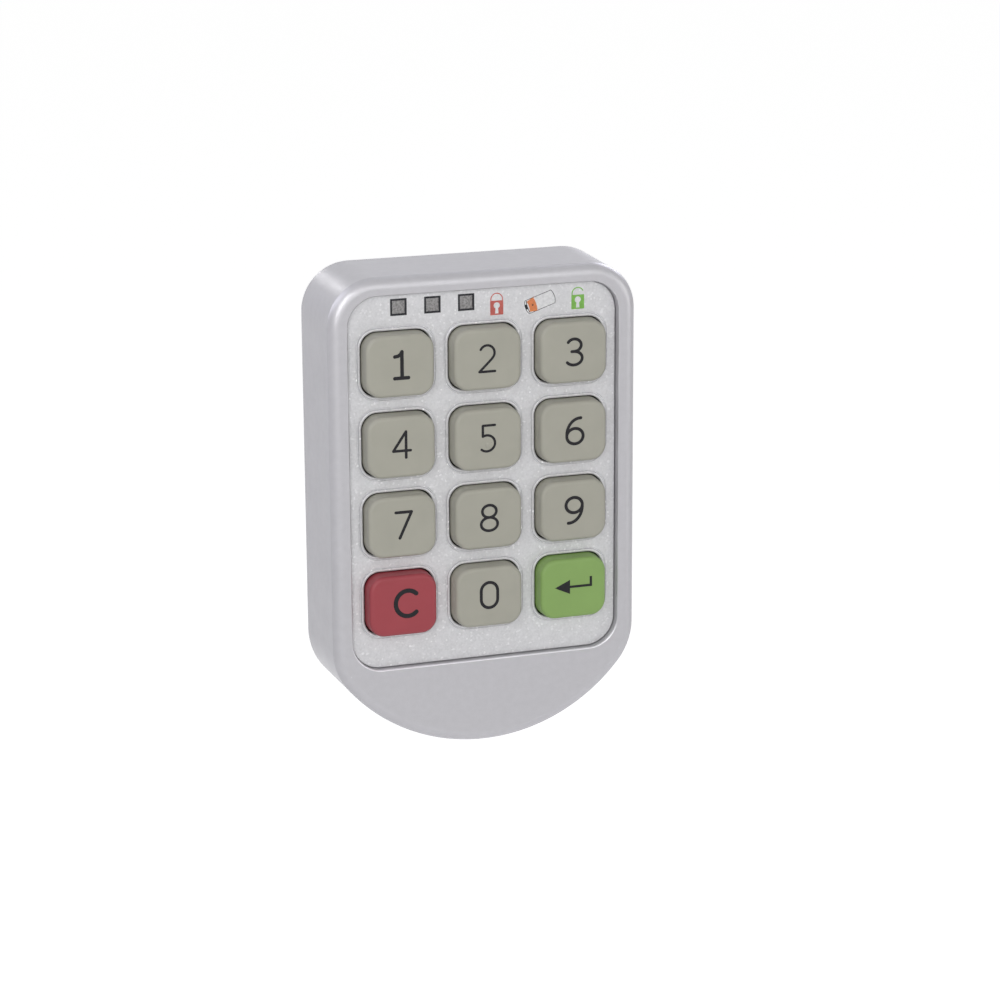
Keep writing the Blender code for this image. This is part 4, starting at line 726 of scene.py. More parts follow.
def make_finishes(tones):
    """The finishes, by record slot, and then the inks."""
    FINISH.update(
        housing_plastic=housing_paint(tones.housing),
        label_film=label_film(tones.film),
        key_beige=silicone("key_silicone", tones.key),
        key_red=silicone("key_red_silicone", tones.key_red),
        key_green=silicone("key_green_silicone", tones.key_green),
        mat_rubber=silicone("mat_silicone", (0.17, 0.17, 0.16)),
        window_lens=window_lens(),
        lamp=printed("lamp_resin", (0.76, 0.74, 0.66), 0.25),
        base_plastic=moulding("base_moulding", tones.base),
        dark_parts=moulding("dark_moulding", (0.012, 0.012, 0.013), 0.45, 1400.0),
        wheel_plastic=moulding("wheel_acetal", (0.72, 0.71, 0.66), 0.42, 1200.0),
        steel_parts=plated("zinc_plate", tones.steel, 0.34, (0.15, 1.0, 1.0)),
        nickel_plate=plated("nickel_plate", tones.nickel, 0.26, (1.0, 0.1, 1.0)),
        gearbox_brass=plated("gearbox_brass", (0.70, 0.50, 0.22), 0.33, (1.0, 1.0, 0.1)),
        cell_jacket=cell_jacket(),
        board=circuit_resist(),
        ink=printed("legend_ink", tones.ink, 0.6, 0.15),
        border=printed("border_print", (0.035, 0.035, 0.040), 0.6, 0.15),
        red=printed("red_print", tones.red_print),
        green=printed("green_print", tones.green_print),
        orange=printed("orange_print", tones.orange_print),
        white=printed("white_print", (0.80, 0.80, 0.81)),
    )


class LOCK_OT_finishes(bpy.types.Operator):
    """Makes the finishes and gives them to the CAD nodes"""
    bl_idname = "lock.finishes"
    bl_label = "Finishes"

    def execute(self, context):
        make_finishes(sizes().lock_finishes)
        for part in frame["record"]["subparts"]:
            for slot in frame["nodes"][part["node"]].material_slots:
                slot.material = FINISH[part["material_slot"]]
        return {"FINISHED"}


# Places on the face

def recess_box():
    """Half width, bottom and top of the recess."""
    size = sizes().lock_housing
    half = (HOUSING_HIGH.x - HOUSING_LOW.x) / 2 - size.rim_side
    top = HOUSING_HIGH.z - size.rim_top
    return half, top - size.recess_height, top


def recess_block(name, grow, front, back):
    """A block of the recess's outline."""
    half, bottom, top = recess_box()
    return rounded_block(
        name, (0, (bottom + top) / 2), 2 * (half + grow), top - bottom + 2 * grow, front, back,
        sizes().lock_housing.recess_radius + grow, 20)


def label_front():
    """The label's printed face, behind the tops of its collars."""
    return LABEL_LOW.y + sizes().lock_keys.collar_rise


def key_blocks(name, border, front, back):
    """Twelve rounded blocks on the key grid."""
    size = sizes().lock_keys
    x, z = middle(KEYS[0])
    blocks = [rounded_block(
        name, (x, z), size.hole_width + 2 * border, size.hole_height + 2 * border, front, back,
        size.hole_radius + border)]
    for key in KEYS[1:]:
        across, up = middle(key)
        blocks.append(copy_piece(blocks[0], name + key, (across - x, 0, up - z)))
    return join(name, blocks)


def window_blocks(name, width, front, back):
    return join(name, [
        rounded_block(name, middle("status_window_%d" % number), width, width, front, back)
        for number in (1, 2, 3)])


def screw_rods(name, radius, start, end, steps):
    """Equal rods at the four base screws."""
    return join(name, [
        add_rod(name, radius, start, end, middle(screw), steps) for screw in BASE_SCREWS])


# Housing

def outline_block(name, inset, front, back):
    """A solid of the housing's outline, drawn in by the inset."""
    size = sizes().lock_housing
    half = HOUSING_HIGH.x - inset
    top = HOUSING_HIGH.z - inset
    radius = size.top_radius - inset
    side = HOUSING_HIGH.x - size.bottom_radius
    reach = size.arc_radius - size.bottom_radius
    sweep = math.acos(side / reach)
    arc_centre = HOUSING_LOW.z + size.arc_radius
    drop = arc_centre - reach * math.sin(sweep)
    block = start_outline(name, (0, back, top))
    extrude(x=half - radius)
    spin_end(half - radius, back, top - radius, math.pi / 2, 24)
    extrude(z=drop - top + radius)
    spin_end(side, back, drop, sweep, 24)
    spin_end(0, back, arc_centre, math.pi / 2 - sweep, 40)
    close_edit()
    modify(block, "MIRROR", merge_threshold=10 * MERGE)
    open_edit(block, "VERT")
    close_outline()
    bpy.ops.mesh.select_mode(type="FACE")
    thicken(front - back)
    return block


def lean_front(piece, draft, y):
    """Draws the front outline in by the draft."""
    centre = (HOUSING_LOW.z + HOUSING_HIGH.z) / 2
    narrow = 1 - draft / HOUSING_HIGH.x
    short = 1 - draft / (HOUSING_HIGH.z - centre)

    def place(point):
        if abs(point.y - y) > MERGE:
            return point
        return (point.x * narrow, point.y, centre + (point.z - centre) * short)

    move_points(piece, place)


def recess_tool(front):
    """The recess as a solid that starts at its rounded mouth and ends at its floor."""
    size = sizes().lock_housing
    edge = size.recess_edge
    sunk = 0.02 * MM
    tool = recess_block("recess_tool", edge, front - MM, front - sunk)
    profile = quarter_round(edge, 7)[::-1]
    profile[0] = (profile[0][0], profile[0][1] + sunk)
    profile.append((0.0, LABEL_HIGH.y + size.web_gap - front - edge))
    shape_end(tool, profile, 1)
    return tool


class LOCK_OT_housing(bpy.types.Operator):
    """Models the front housing with its recess, key holes and bosses"""
    bl_idname = "lock.housing"
    bl_label = "Front housing"

    def execute(self, context):
        size = sizes().lock_housing
        front, back = HOUSING_LOW.y, HOUSING_HIGH.y
        web_back = LABEL_HIGH.y + size.web_gap + size.web
        through = web_back + MM
        edge = front + size.edge_radius * (1 - math.sin(size.crease))
        housing = outline_block("housing_shell", 0.0, edge, back)
        lean_front(housing, size.draft, edge)
        shape_end(housing, quarter_round(size.edge_radius, 12, size.crease))
        cut(housing, outline_block("cavity", size.wall, web_back, back + MM))
        play = sizes().lock_fasteners.gap
        boss_front = BOARD_BACK + play
        boss_back = BASE_HIGH.y - sizes().lock_fasteners.plate_depth - play
        fuse(housing, screw_rods("boss", size.boss_radius, boss_front, boss_back, 32))
        cut(housing, screw_rods("pilot", size.pilot_radius, boss_front + play, back, 24))
        cut(housing, recess_tool(front))
        cut(housing, key_blocks("key_tool", 0.0, LABEL_HIGH.y, through))
        border = sizes().lock_windows.border_size
        cut(housing, window_blocks("window_tool", border, LABEL_HIGH.y, through))
        complete(housing, LOCK_BODY, "housing_plastic", "front_housing", 20)
        return {"FINISHED"}


# Label film

COLLAR = (
    (0.00, 0.00), (0.08, 0.30), (0.15, 0.58), (0.23, 0.80), (0.33, 0.94), (0.45, 1.00),
    (0.66, 1.00), (0.80, 0.96), (0.91, 0.86), (0.98, 0.68))


class LOCK_OT_film(bpy.types.Operator):
    """Models the silver label with a formed collar round each key hole"""
    bl_idname = "lock.film"
    bl_label = "Label film"

    def execute(self, context):
        keys = sizes().lock_keys
        housing = sizes().lock_housing
        front, back = label_front(), LABEL_HIGH.y
        edge = housing.label_edge
        film = recess_block("keypad_film", -housing.label_gap, front + edge, back)
        shape_end(film, quarter_round(edge, 4))
        foot = front + keys.groove_depth
        sunk = 0.05 * MM
        outer = keys.collar_width + keys.groove_width
        pockets = key_blocks("pockets", outer, front - MM, front - sunk)
        shape_end(pockets, [(keys.groove_width / 2, keys.groove_depth + sunk)], 1)
        cut(film, pockets)
        collars = key_blocks("collars", keys.collar_width, foot + sunk, foot + 2 * sunk)
        rise = keys.collar_rise + keys.groove_depth
        shape_end(collars, [(0.0, sunk)] + [
            ((far[0] - near[0]) * keys.collar_width, (far[1] - near[1]) * rise)
            for near, far in zip(COLLAR, COLLAR[1:])])
        fuse(film, collars)
        cut(film, key_blocks("hole_tool", 0.0, front - MM, back + MM))
        slot = sizes().lock_windows.opening + 0.2 * MM
        cut(film, window_blocks("slot_tool", slot, front - MM, back + MM))
        complete(film, LOCK_BODY, "label_film", "keypad_label", 50)
        return {"FINISHED"}


# Keys

def key_cap(name, centre):
    """One key: a flange behind the web and a cap with a soft top edge."""
    size = sizes().lock_keys
    shoulder = KEY_BACK - size.flange_depth
    cap = rounded_block(
        name, centre, size.hole_width - 2 * size.gap, size.hole_height - 2 * size.gap,
        shoulder, KEY_BACK, size.cap_radius, 14)
    lift = size.edge_radius * (1 - math.sin(size.edge_start))
    shape_end(cap, [
        (size.taper, shoulder - KEY_FACE - lift),
        *quarter_round(size.edge_radius, 7, size.edge_start), (size.edge_flat, 0.0)])
    fuse(cap, rounded_block(
        "flange", centre, size.hole_width + 2 * size.flange, size.hole_height + 2 * size.flange,
        shoulder, KEY_BACK, size.hole_radius + size.flange, 10))
    clean(cap)
    return cap


def locator_dot():
    """The raised dot below the middle of the key with the 5."""
    size = sizes().lock_keys
    x, z = middle("key_5")
    pick_nothing()
    bpy.ops.mesh.primitive_uv_sphere_add(
        segments=32, ring_count=16, radius=size.dot_diameter / 2,
        location=(x + size.dot_right, KEY_FACE, z - size.dot_drop),
        scale=(1, 2 * size.dot_rise / size.dot_diameter, 1))
    apply_place()
    return named("locator_dot")


class LOCK_OT_keys(bpy.types.Operator):
    """Models the twelve silicone keys"""
    bl_idname = "lock.keys"
    bl_label = "Keys"

    def execute(self, context):
        x, z = middle(KEYS[0])
        caps = {KEYS[0]: key_cap("key_cap_1", (x, z))}
        for key in KEYS[1:]:
            across, up = middle(key)
            caps[key] = copy_piece(
                caps[KEYS[0]], key.replace("key_", "key_cap_"), (across - x, 0, up - z))
        fuse(caps["key_5"], locator_dot())
        slots = {"key_clear": "key_red", "key_enter": "key_green"}
        for key, cap in caps.items():
            shade(cap, 35)
            settle(cap, key + "_cap", slots.get(key, "key_beige"), key)
        return {"FINISHED"}


# Legends, drawn as strokes on a glyph one unit high

def arc(x, z, half_width, half_height, start, end):
    """Points of an elliptical arc, its angles in degrees."""
    count = max(8, round(abs(end - start) / 9))
    angles = [math.radians(start + (end - start) * index / count) for index in range(count + 1)]
    return [(x + half_width * math.cos(a), z + half_height * math.sin(a)) for a in angles]


def line(*points):
    """Points along straight runs, close enough for a round end to form."""
    return [points[0]] + [
        tuple(Vector(near).lerp(Vector(far), index / 12))
        for near, far in zip(points, points[1:]) for index in range(1, 13)]


SIX = (arc(0.22, 0.36, 0.55, 0.64, 88, 180), arc(0.0, 0.30, 0.33, 0.30, 0, 360))

# Strokes, line width in mm, and how far right and up the glyph sits from the key's centre
GLYPHS = {
    "key_0": (0.66, -0.03, 0.38, (
        arc(0.0, 0.66, 0.33, 0.34, 0, 180) + arc(0.0, 0.34, 0.33, 0.34, 180, 360)
        + [(0.33, 0.66)],)),
    "key_1": (0.74, 0.16, 0.23, (
        line((-0.26, 0.82), (-0.12, 0.84), (-0.03, 0.91), (0.02, 1.0)),
        line((0.02, 1.0), (0.02, 0.0)), line((-0.27, 0.0), (0.27, 0.0)))),
    "key_2": (0.52, -0.20, 0.18, (
        arc(0.0, 0.71, 0.29, 0.29, 152, -36) + line((0.16, 0.45), (-0.31, 0.0)),
        line((-0.31, 0.0), (0.31, 0.0)))),
    "key_3": (0.64, 0.13, 0.10, (
        arc(-0.02, 0.76, 0.28, 0.24, 150, -80), arc(-0.03, 0.26, 0.33, 0.26, 84, -145),
        line((-0.12, 0.52), (0.02, 0.52)))),
    "key_4": (0.57, 0.04, 0.45, (
        line((0.16, 0.0), (0.16, 1.0)), line((0.16, 1.0), (-0.34, 0.27)),
        line((-0.34, 0.27), (0.34, 0.27)))),
    "key_5": (0.52, -0.10, 0.25, (
        line((0.27, 1.0), (-0.21, 1.0)), line((-0.21, 1.0), (-0.21, 0.58)),
        arc(-0.05, 0.31, 0.32, 0.31, 118, -132))),
    "key_6": (0.66, 0.20, 0.20, SIX),
    "key_7": (0.62, 0.20, 0.38, (
        line((-0.31, 1.0), (0.31, 1.0)), line((0.31, 1.0), (-0.16, 0.0)))),
    "key_8": (0.60, 0.05, 0.16, (
        arc(0.0, 0.76, 0.28, 0.24, 0, 360), arc(0.0, 0.26, 0.33, 0.26, 0, 360))),
    "key_9": (0.68, 0.05, 0.10, [[(-x, 1 - z) for x, z in stroke] for stroke in SIX]),
    "key_clear": (0.95, 0.42, 0.42, (arc(0.08, 0.5, 0.48, 0.5, 46, 314),)),
}
# Outline of the arrow on the enter key, as mm to the right and up from its centre
ARROW = (
    (-3.96, 0.33), (-0.80, 1.78), (-0.80, 0.58), (3.35, 0.58), (3.35, 2.15), (3.85, 2.15),
    (3.85, 0.08), (-0.80, 0.08), (-0.80, -1.12))


def round_end(tip, after, width):
    """The points of a round end, from just outside the tip inwards."""
    run = (Vector(after) - Vector(tip)).normalized()
    start = Vector(tip) - run * width * 0.45
    shares = (0.0, 0.03, 0.10, 0.22, 0.40, 0.62, 0.85, 1.0)
    return [tuple(start + run * width / 2 * share) for share in shares]


def ink_stroke(name, points, width, y, rise, blunt=False):
    """A flat printed stroke along (x, z) points, with round or blunt ends."""
    pick_nothing()
    bpy.ops.curve.primitive_nurbs_path_add(radius=1.0)
    piece = named(name)
    curve = piece.data
    curve.splines.clear()
    closed = (Vector(points[0]) - Vector(points[-1])).length < MERGE
    if closed:
        points = points[:-1]
    elif not blunt:
        points = (
            round_end(points[0], points[1], width) + list(points[1:-1])
            + round_end(points[-1], points[-2], width)[::-1])
    runs = [0.0]
    for near, far in zip(points, points[1:]):
        runs.append(runs[-1] + (Vector(far) - Vector(near)).length)
    spline = curve.splines.new("POLY")
    spline.points.add(len(points) - 1)
    spline.use_cyclic_u = closed
    for (x, z), run, point in zip(points, runs, spline.points):
        point.co = (x, 0.0, z, 1.0)
        reach = min(run, runs[-1] - run) / (width / 2)
        if not closed and not blunt and reach < 1:
            point.radius = math.sqrt(max(1 - (1 - reach) ** 2, 0.0)) + 0.02
    curve.dimensions = "3D"
    curve.twist_mode = "MINIMUM"
    curve.bevel_depth = width / 2
    curve.bevel_resolution = 3
    curve.use_fill_caps = True
    piece.scale = (1, rise / (width / 2), 1)
    piece.location = (0, y, 0)
    select_only(piece)
    bpy.ops.object.convert(target="MESH")
    piece = named(name)
    apply_place()
    clean(piece)
    bpy.ops.object.shade_flat()
    return piece


def flat_shape(name, points, y, rise):
    """A thin printed shape whose outline runs through (x, z) points."""
    pick_nothing()
    bpy.ops.mesh.primitive_circle_add(vertices=len(points), radius=MM, fill_type="NGON")
    piece = named(name)
    for vert, (x, z) in zip(piece.data.vertices, points):
        vert.co = (x, y - rise, z)
    open_edit(piece)
    thicken(2 * rise)
    return piece


class LOCK_OT_legends(bpy.types.Operator):
    """Prints the numbers, the C and the arrow on the keys"""
    bl_idname = "lock.legends"
    bl_label = "Legends"

    def execute(self, context):
        size = sizes().lock_keys
        height = size.legend_height
        for key, (width, across, up, strokes) in GLYPHS.items():
            x, z = middle(key)
            x, z = x + across * MM, z + up * MM - height / 2
            legend = join(key.replace("key_", "legend_"), [
                ink_stroke(
                    "stroke", [(x + right * height, z + rise * height) for right, rise in stroke],
                    width * MM, KEY_FACE, size.ink)
                for stroke in strokes])
            settle(legend, key + "_cap", "dark_parts", finish="ink")
        x, z = middle("key_enter")
        arrow = flat_shape(
            "legend_enter", [(x + right * MM, z + up * MM) for right, up in ARROW], KEY_FACE,
            size.ink)
        settle(arrow, "key_enter_cap", "dark_parts", finish="ink")
        return {"FINISHED"}


# Windows and pictograms

def print_block(name, centre, width, height, radius=0.0):
    """A flat printed shape on the label's face."""
    rise = sizes().lock_windows.print_rise
    return rounded_block(
        name, centre, width, height, label_front() - rise, label_front() + rise, radius, 6)


class LOCK_OT_windows(bpy.types.Operator):
    """Models the three status windows, each a dark border round a grained lens"""
    bl_idname = "lock.windows"
    bl_label = "Status windows"

    def execute(self, context):
        size = sizes().lock_windows
        front = label_front()
        for number in (1, 2, 3):
            node = "status_window_%d" % number
            low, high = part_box(node)
            border = print_block(
                "window_border_%d" % number, middle(node), size.border_size, size.border_size)
            cut(border, rounded_block(
                "hole", middle(node), size.opening, size.opening, front - MM, front + MM))
            settle(border, LOCK_BODY, "dark_parts", finish="border")
            flange_front = high.y - size.lens_depth
            lens = rounded_block(
                "status_lens_%d" % number, middle(node), high.x - low.x, high.z - low.z,
                flange_front, high.y)
            step = 0.05 * MM
            flange = (high.x - low.x - size.opening) / 2 - step
            rise = flange_front - front - size.lens_sunk
            shape_end(lens, [(flange, 0.0), (0.0001 * MM, rise - step), (0.08 * MM, step)])
            shade(lens)
            settle(lens, LOCK_BODY, "window_lens", node)
        return {"FINISHED"}


def padlock(name, x, opened, finish):
    """A padlock pictogram: a body with a keyhole under a thin shackle."""
    size = sizes().lock_windows
    width, height, stroke = size.lock_width, size.lock_height, size.shackle
    front = label_front()
    top = recess_box()[2] - size.lock_drop
    body = print_block(name, (x, top - height / 2), width, height, 0.12 * MM)
    eye = top - height * 0.34
    foot = top - height * 0.90
    narrow, wide = width * 0.085, width * 0.135
    hole = add_rod("keyhole", width * 0.235, front - MM, front + MM, (x, eye), 24)
    fuse(hole, flat_shape(
        "keyslot", ((x - narrow, eye), (x + narrow, eye), (x + wide, foot), (x - wide, foot)),
        front, MM))
    cut(body, hole)
    half = width * 0.445
    crown = top + size.shackle_rise - half
    points = line((x - half, top - stroke), (x - half, crown))
    points += arc(x, crown, half, half, 180, 28 if opened else 0)[1:]
    if not opened:
        points += line((x + half, crown), (x + half, top - stroke))[1:]
    shackle = ink_stroke("shackle", points, stroke, front, size.print_rise)
    settle(join(name, [body, shackle]), LOCK_BODY, "label_film", finish=finish)
    behind = [(x - half, top - height * 0.95), (x + half, top - height * 0.95)]
    if opened:
        behind += [(x + half, top), (x - half, top)]
    else:
        behind += arc(x, crown, half, half, 0, 180)
    ground = flat_shape(name + "_ground", behind, front, size.print_rise * 0.4)
    settle(ground, LOCK_BODY, "label_film", finish="white")


def turn_piece(piece, centre, angle):
    """Turns a piece round the Y axis, anticlockwise from the front."""
    open_edit(piece, "VERT")
    bpy.ops.transform.rotate(
        value=angle, orient_axis="Y", orient_type="GLOBAL",
        center_override=(centre[0], 0, centre[1]))
    close_edit()


def bow(x, z, half_height, bulge):
    """Points of a shallow curve from top to bottom that bulges to the right."""
    shares = [1 - index / 6 for index in range(13)]
    return [(x + bulge * (1 - share ** 2), z + half_height * share) for share in shares]


def battery_pictogram():
    """A tilted cell: an outlined body with a coloured band and its dark pole, without words."""
    size = sizes().lock_windows
    rise = size.print_rise
    half = size.cell_half_height
    bulge = size.cell_bulge
    x = size.cell_place
    z = recess_box()[2] - size.cell_drop
    left = x - size.cell_half
    front = label_front()
    ends = bow(x + size.cell_half, z, half, bulge) + bow(left, z, half, -bulge)[::-1]
    body = flat_shape("battery_body", ends, front, rise * 0.5)
    band_place = left + size.band_place
    band = ink_stroke(
        "battery_band", bow(band_place, z, half * 0.92, 0.18 * MM), size.band_width, front,
        rise * 0.8, True)
    mark = add_rod(
        "battery_mark", 0.17 * MM, front - rise * 1.2, front, (band_place + 0.2 * MM, z), 12)
    rim = ink_stroke("battery_rim", ends + ends[:1], size.cell_line, front, rise)
    pole = print_block(
        "battery_pole", (left - 0.12 * MM, z + 0.1 * MM), size.pole_width, size.pole_height,
        0.1 * MM)
    shadow = ink_stroke(
        "battery_shade", bow(left + 0.25 * MM, z, half * 0.86, -bulge * 0.5), 0.2 * MM, front,
        rise * 0.9)
    ink = join("battery_ink", [rim, pole, mark, shadow])
    for piece, slot, finish in (
            (body, "label_film", "white"), (band, "label_film", "orange"),
            (ink, "dark_parts", "border")):
        turn_piece(piece, (x, z), size.cell_tilt)
        settle(piece, LOCK_BODY, slot, finish=finish)


class LOCK_OT_pictograms(bpy.types.Operator):
    """Prints the two padlocks and the cell beside the windows"""
    bl_idname = "lock.pictograms"
    bl_label = "Pictograms"

    def execute(self, context):
        size = sizes().lock_windows
        padlock("closed_padlock", size.closed_place, False, "red")
        padlock("open_padlock", size.open_place, True, "green")
        battery_pictogram()
        return {"FINISHED"}


# Base plate and battery cover

def cover_block(name, grow, front, back):
    """The cover's outline: a rounded plate with a tab at its top."""
    size = sizes().lock_fasteners
    top = COVER_HIGH.z - size.tab_length
    plate = rounded_block(
        name, (0, (COVER_LOW.z + top) / 2), 2 * (COVER_HIGH.x + grow),
        top - COVER_LOW.z + 2 * grow, front, back, size.cover_radius, 10)
    fuse(plate, rounded_block(
        "tab", (0, top), size.tab_width + 2 * grow, 2 * (size.tab_length + grow), front, back,
        size.tab_radius, 8))
    open_edit(plate)
    bpy.ops.mesh.dissolve_limited(angle_limit=math.radians(0.2))
    close_edit()
    return plate


class LOCK_OT_base(bpy.types.Operator):
    """Models the base plate and the battery cover set into it"""
    bl_idname = "lock.base"
    bl_label = "Base and cover"

    def execute(self, context):
        size = sizes().lock_fasteners
        front = -size.plate_depth
        base = outline_block("base_back", sizes().lock_housing.wall + size.gap, front, 0.0)
        soften(base, size.plate_edge)
        radius = FLANGE_RADIUS - size.flange_width + size.gap
        hole = add_rod("barrel_hole", radius, front - MM, MM, BARREL_AXIS, size.round_steps)
        for side in (-1, 1):
            open_edit(hole)
            bpy.ops.mesh.bisect(
                plane_co=(side * (radius - size.flat_depth), 0, 0), plane_no=(side, 0, 0),
                clear_outer=True, use_fill=True)
            close_edit()
        cut(base, hole)
        cut(base, cover_block("cover_tool", size.gap, COVER_LOW.y - size.gap, MM))
        top = COVER_HIGH.z - size.tab_length - size.ledge
        bottom = COVER_LOW.z + size.ledge
        cut(base, rounded_block(
            "battery_opening", (0, (top + bottom) / 2), 2 * (COVER_HIGH.x - size.ledge),
            top - bottom, front - MM, MM, size.cover_radius, 8))
        cut(base, screw_rods("hole", size.screw_hole, front - MM, MM, 32))
        cut(base, screw_rods("sink", size.screw_sink, -size.sink_depth, MM, 48))
        complete(base, LOCK_BODY, "base_plastic", "base_plate")
        cover = cover_block("cover_plate", 0.0, COVER_LOW.y, COVER_HIGH.y)
        soften(cover, size.cover_edge)
        centre = middle("cover_screw")
        cut(cover, add_rod("hole", size.cover_hole, COVER_LOW.y - MM, MM, centre, 32))
        cut(cover, add_rod("sink", size.cover_sink, -size.cover_sink_depth, MM, centre, 48))
        complete(cover, LOCK_BODY, "base_plastic", "battery_cover")
        return {"FINISHED"}


# Barrel, nut, washers and cam

def thread_rod(name, radius, start, end):
    """A threaded rod along Y: a zigzag outline wound round the axis and turned to length."""
    size = sizes().lock_fasteners
    depth, pitch = size.thread_depth, size.thread_pitch
    rod = start_outline(name, (radius - depth, start - pitch, 0))
    crest = pitch * 0.12
    slope = pitch / 2 - crest
    for out, along in ((depth, slope), (0.0, crest), (-depth, slope), (0.0, crest)):
        extrude(out, along)
    close_edit()
    modify(
        rod, "SCREW", axis="Y", screw_offset=pitch, steps=64, render_steps=64,
        iterations=math.ceil((end - start) / pitch) + 2, use_merge_vertices=True,
        merge_threshold=MERGE, use_normal_calculate=True)
    clean(rod, 2 * MERGE)
    half_way = (start + end) / 2
    for side in (-1, 1):
        open_edit(rod, "EDGE")
        pick(rod, "EDGE", lambda edge: (
            edge.is_boundary and side * (edge.verts[0].co.y - half_way) > 0))
        bpy.ops.mesh.edge_face_add()
        close_edit()
    clean(rod)
    stock = add_rod("stock", radius + 0.05 * MM, start + 0.3 * MM, end - depth, steps=96)
    shape_end(stock, [(depth, depth)], 1)
    return cut(rod, stock, "INTERSECT")


def hex_head(name, half_flats, front, back, centre, *signs):
    """A hexagon whose corners are turned off at the front (-1) or back (1)."""
    corner = half_flats / math.cos(math.pi / 6)
    body = add_rod(name, corner, front, back, centre, 6)
    if abs(body.dimensions.z - 2 * half_flats) > 0.1 * MM:
        turn_piece(body, centre, math.pi / 6)
    inward = corner - half_flats * 0.985
    rise = inward * math.tan(math.radians(30))
    start = front + rise if -1 in signs else front
    turned = add_rod("turned", corner + 0.01 * MM, start, back - rise, centre, 96)
    shape_end(turned, [(inward, rise)], *signs)
    return cut(body, turned, "INTERSECT")


def washer(name, node, bore, edge, body, steps, bore_steps):
    """A flat ring with soft edges in place of a CAD washer."""
    low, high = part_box(node)
    ring = add_rod(name, (high.x - low.x) / 2, low.y, high.y, BARREL_AXIS, steps)
    soften(ring, edge, 2)
    cut(ring, add_rod("washer_bore", bore, low.y - MM, high.y + MM, BARREL_AXIS, bore_steps))
    complete(ring, body, "nickel_plate", node)


class LOCK_OT_barrel(bpy.types.Operator):
    """Models the threaded barrel, its washer and its hexagon nut"""
    bl_idname = "lock.barrel"
    bl_label = "Barrel and nut"

    def execute(self, context):
        size = sizes().lock_fasteners
        steps = size.round_steps
        radius = FLANGE_RADIUS - size.flange_width
        flange_back = BARREL_LOW.y + size.flange_depth
        front, back = BARREL_LOW.y - MM, BARREL_HIGH.y + MM
        barrel = thread_rod("barrel_thread", radius, size.thread_start, BARREL_HIGH.y)
        fuse(barrel, add_rod(
            "neck", radius - 0.1 * MM, flange_back - size.gap, size.neck_end, steps=steps))
        half = radius - size.flat_depth
        cut(barrel, add_box(
            "flat_sides", (-half, front, -2 * radius), (half, back, 2 * radius)), "INTERSECT")
        fuse(barrel, add_rod("flange", FLANGE_RADIUS, BARREL_LOW.y, flange_back, steps=steps))
        cut(barrel, add_rod("bore", size.bore_radius, front, back))
        select_only(barrel)
        bpy.ops.transform.translate(value=(BARREL_AXIS[0], 0, BARREL_AXIS[1]))
        apply_place()
        complete(barrel, LOCK_BODY, "nickel_plate", "barrel", 28)
        bore = radius + size.gap
        washer("washer_ring", "barrel_washer", bore, 0.15 * MM, LOCK_BODY, steps, 96)
        low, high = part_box("barrel_nut")
        nut = hex_head(
            "nut_body", (high.z - low.z) / 2, low.y, high.y, BARREL_AXIS, 1, -1)
        cut(nut, add_rod("nut_bore", bore, low.y - MM, high.y + MM, BARREL_AXIS, 96))
        complete(nut, LOCK_BODY, "nickel_plate", "barrel_nut")
        return {"FINISHED"}


def cam_blank():
    """The cam's outline swept by spins, given its thickness and its crank."""
    size = sizes().lock_fasteners
    y, z = CAM_LOW.y, BARREL_AXIS[1]
    radius = size.cam_tip / 2
    x = CAM_HIGH.x - radius
    slope = math.atan2(size.cam_hub - size.cam_tip, x)
    cam = start_outline("cam_blade", (-size.cam_hub, y, z))
    spin_end(0, y, z, math.pi / 2 + slope, 32)
    mesh = bmesh.from_edit_mesh(cam.data)
    end = next(vert for vert in mesh.verts if vert.select).co.copy()
    target = Vector((x + radius * math.sin(slope), y, z + radius * (1 + math.cos(slope))))
    steps = 12
    for _ in range(steps):
        extrude(*(target - end) / steps)
    spin_end(x, y, z + radius, math.pi / 2 - slope, steps)
    extrude(z=-radius)
    pick_all()
    bpy.ops.mesh.duplicate()
    bpy.ops.transform.resize(
        value=(1, 1, -1), orient_type="GLOBAL", center_override=(0, y, z))
    close_outline()
    thicken(CAM_HIGH.y - y - size.crank)
    soften(cam, size.cam_edge)
    for station in (size.crank_start, size.crank_start + size.crank_run):
        open_edit(cam)
        bpy.ops.mesh.bisect(plane_co=(station, 0, 0), plane_no=(1, 0, 0))
        close_edit()

    def place(point):
        share = min(max((point.x - size.crank_start) / size.crank_run, 0), 1)
        return (point.x, point.y + size.crank * share, point.z)

    move_points(cam, place)
    return cam


class LOCK_OT_cam(bpy.types.Operator):
    """Models the cranked cam, its washer and its bolt"""
    bl_idname = "lock.cam"
    bl_label = "Cam and bolt"

    def execute(self, context):
        size = sizes().lock_fasteners
        half, z = size.square, BARREL_AXIS[1]
        cam = cut(cam_blank(), add_box(
            "square", (-half, CAM_LOW.y - MM, z - half), (half, CAM_HIGH.y + MM, z + half)))
        complete(cam, DRIVE_BODY, "steel_parts", "cam", 28)
        washer("cam_washer_ring", "cam_washer", size.cam_bore, 0.12 * MM, DRIVE_BODY, 64, 48)
        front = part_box("cam_washer")[1].y + size.gap
        bolt = hex_head("bolt_body", size.bolt_flats, front, BOLT_HIGH.y, BARREL_AXIS, 1)
        fuse(bolt, add_rod(
            "shank", size.bolt_shank, BOLT_LOW.y, front + 0.5 * MM, BARREL_AXIS, 32))
        complete(bolt, DRIVE_BODY, "steel_parts", "cam_bolt")
        return {"FINISHED"}


# Screws

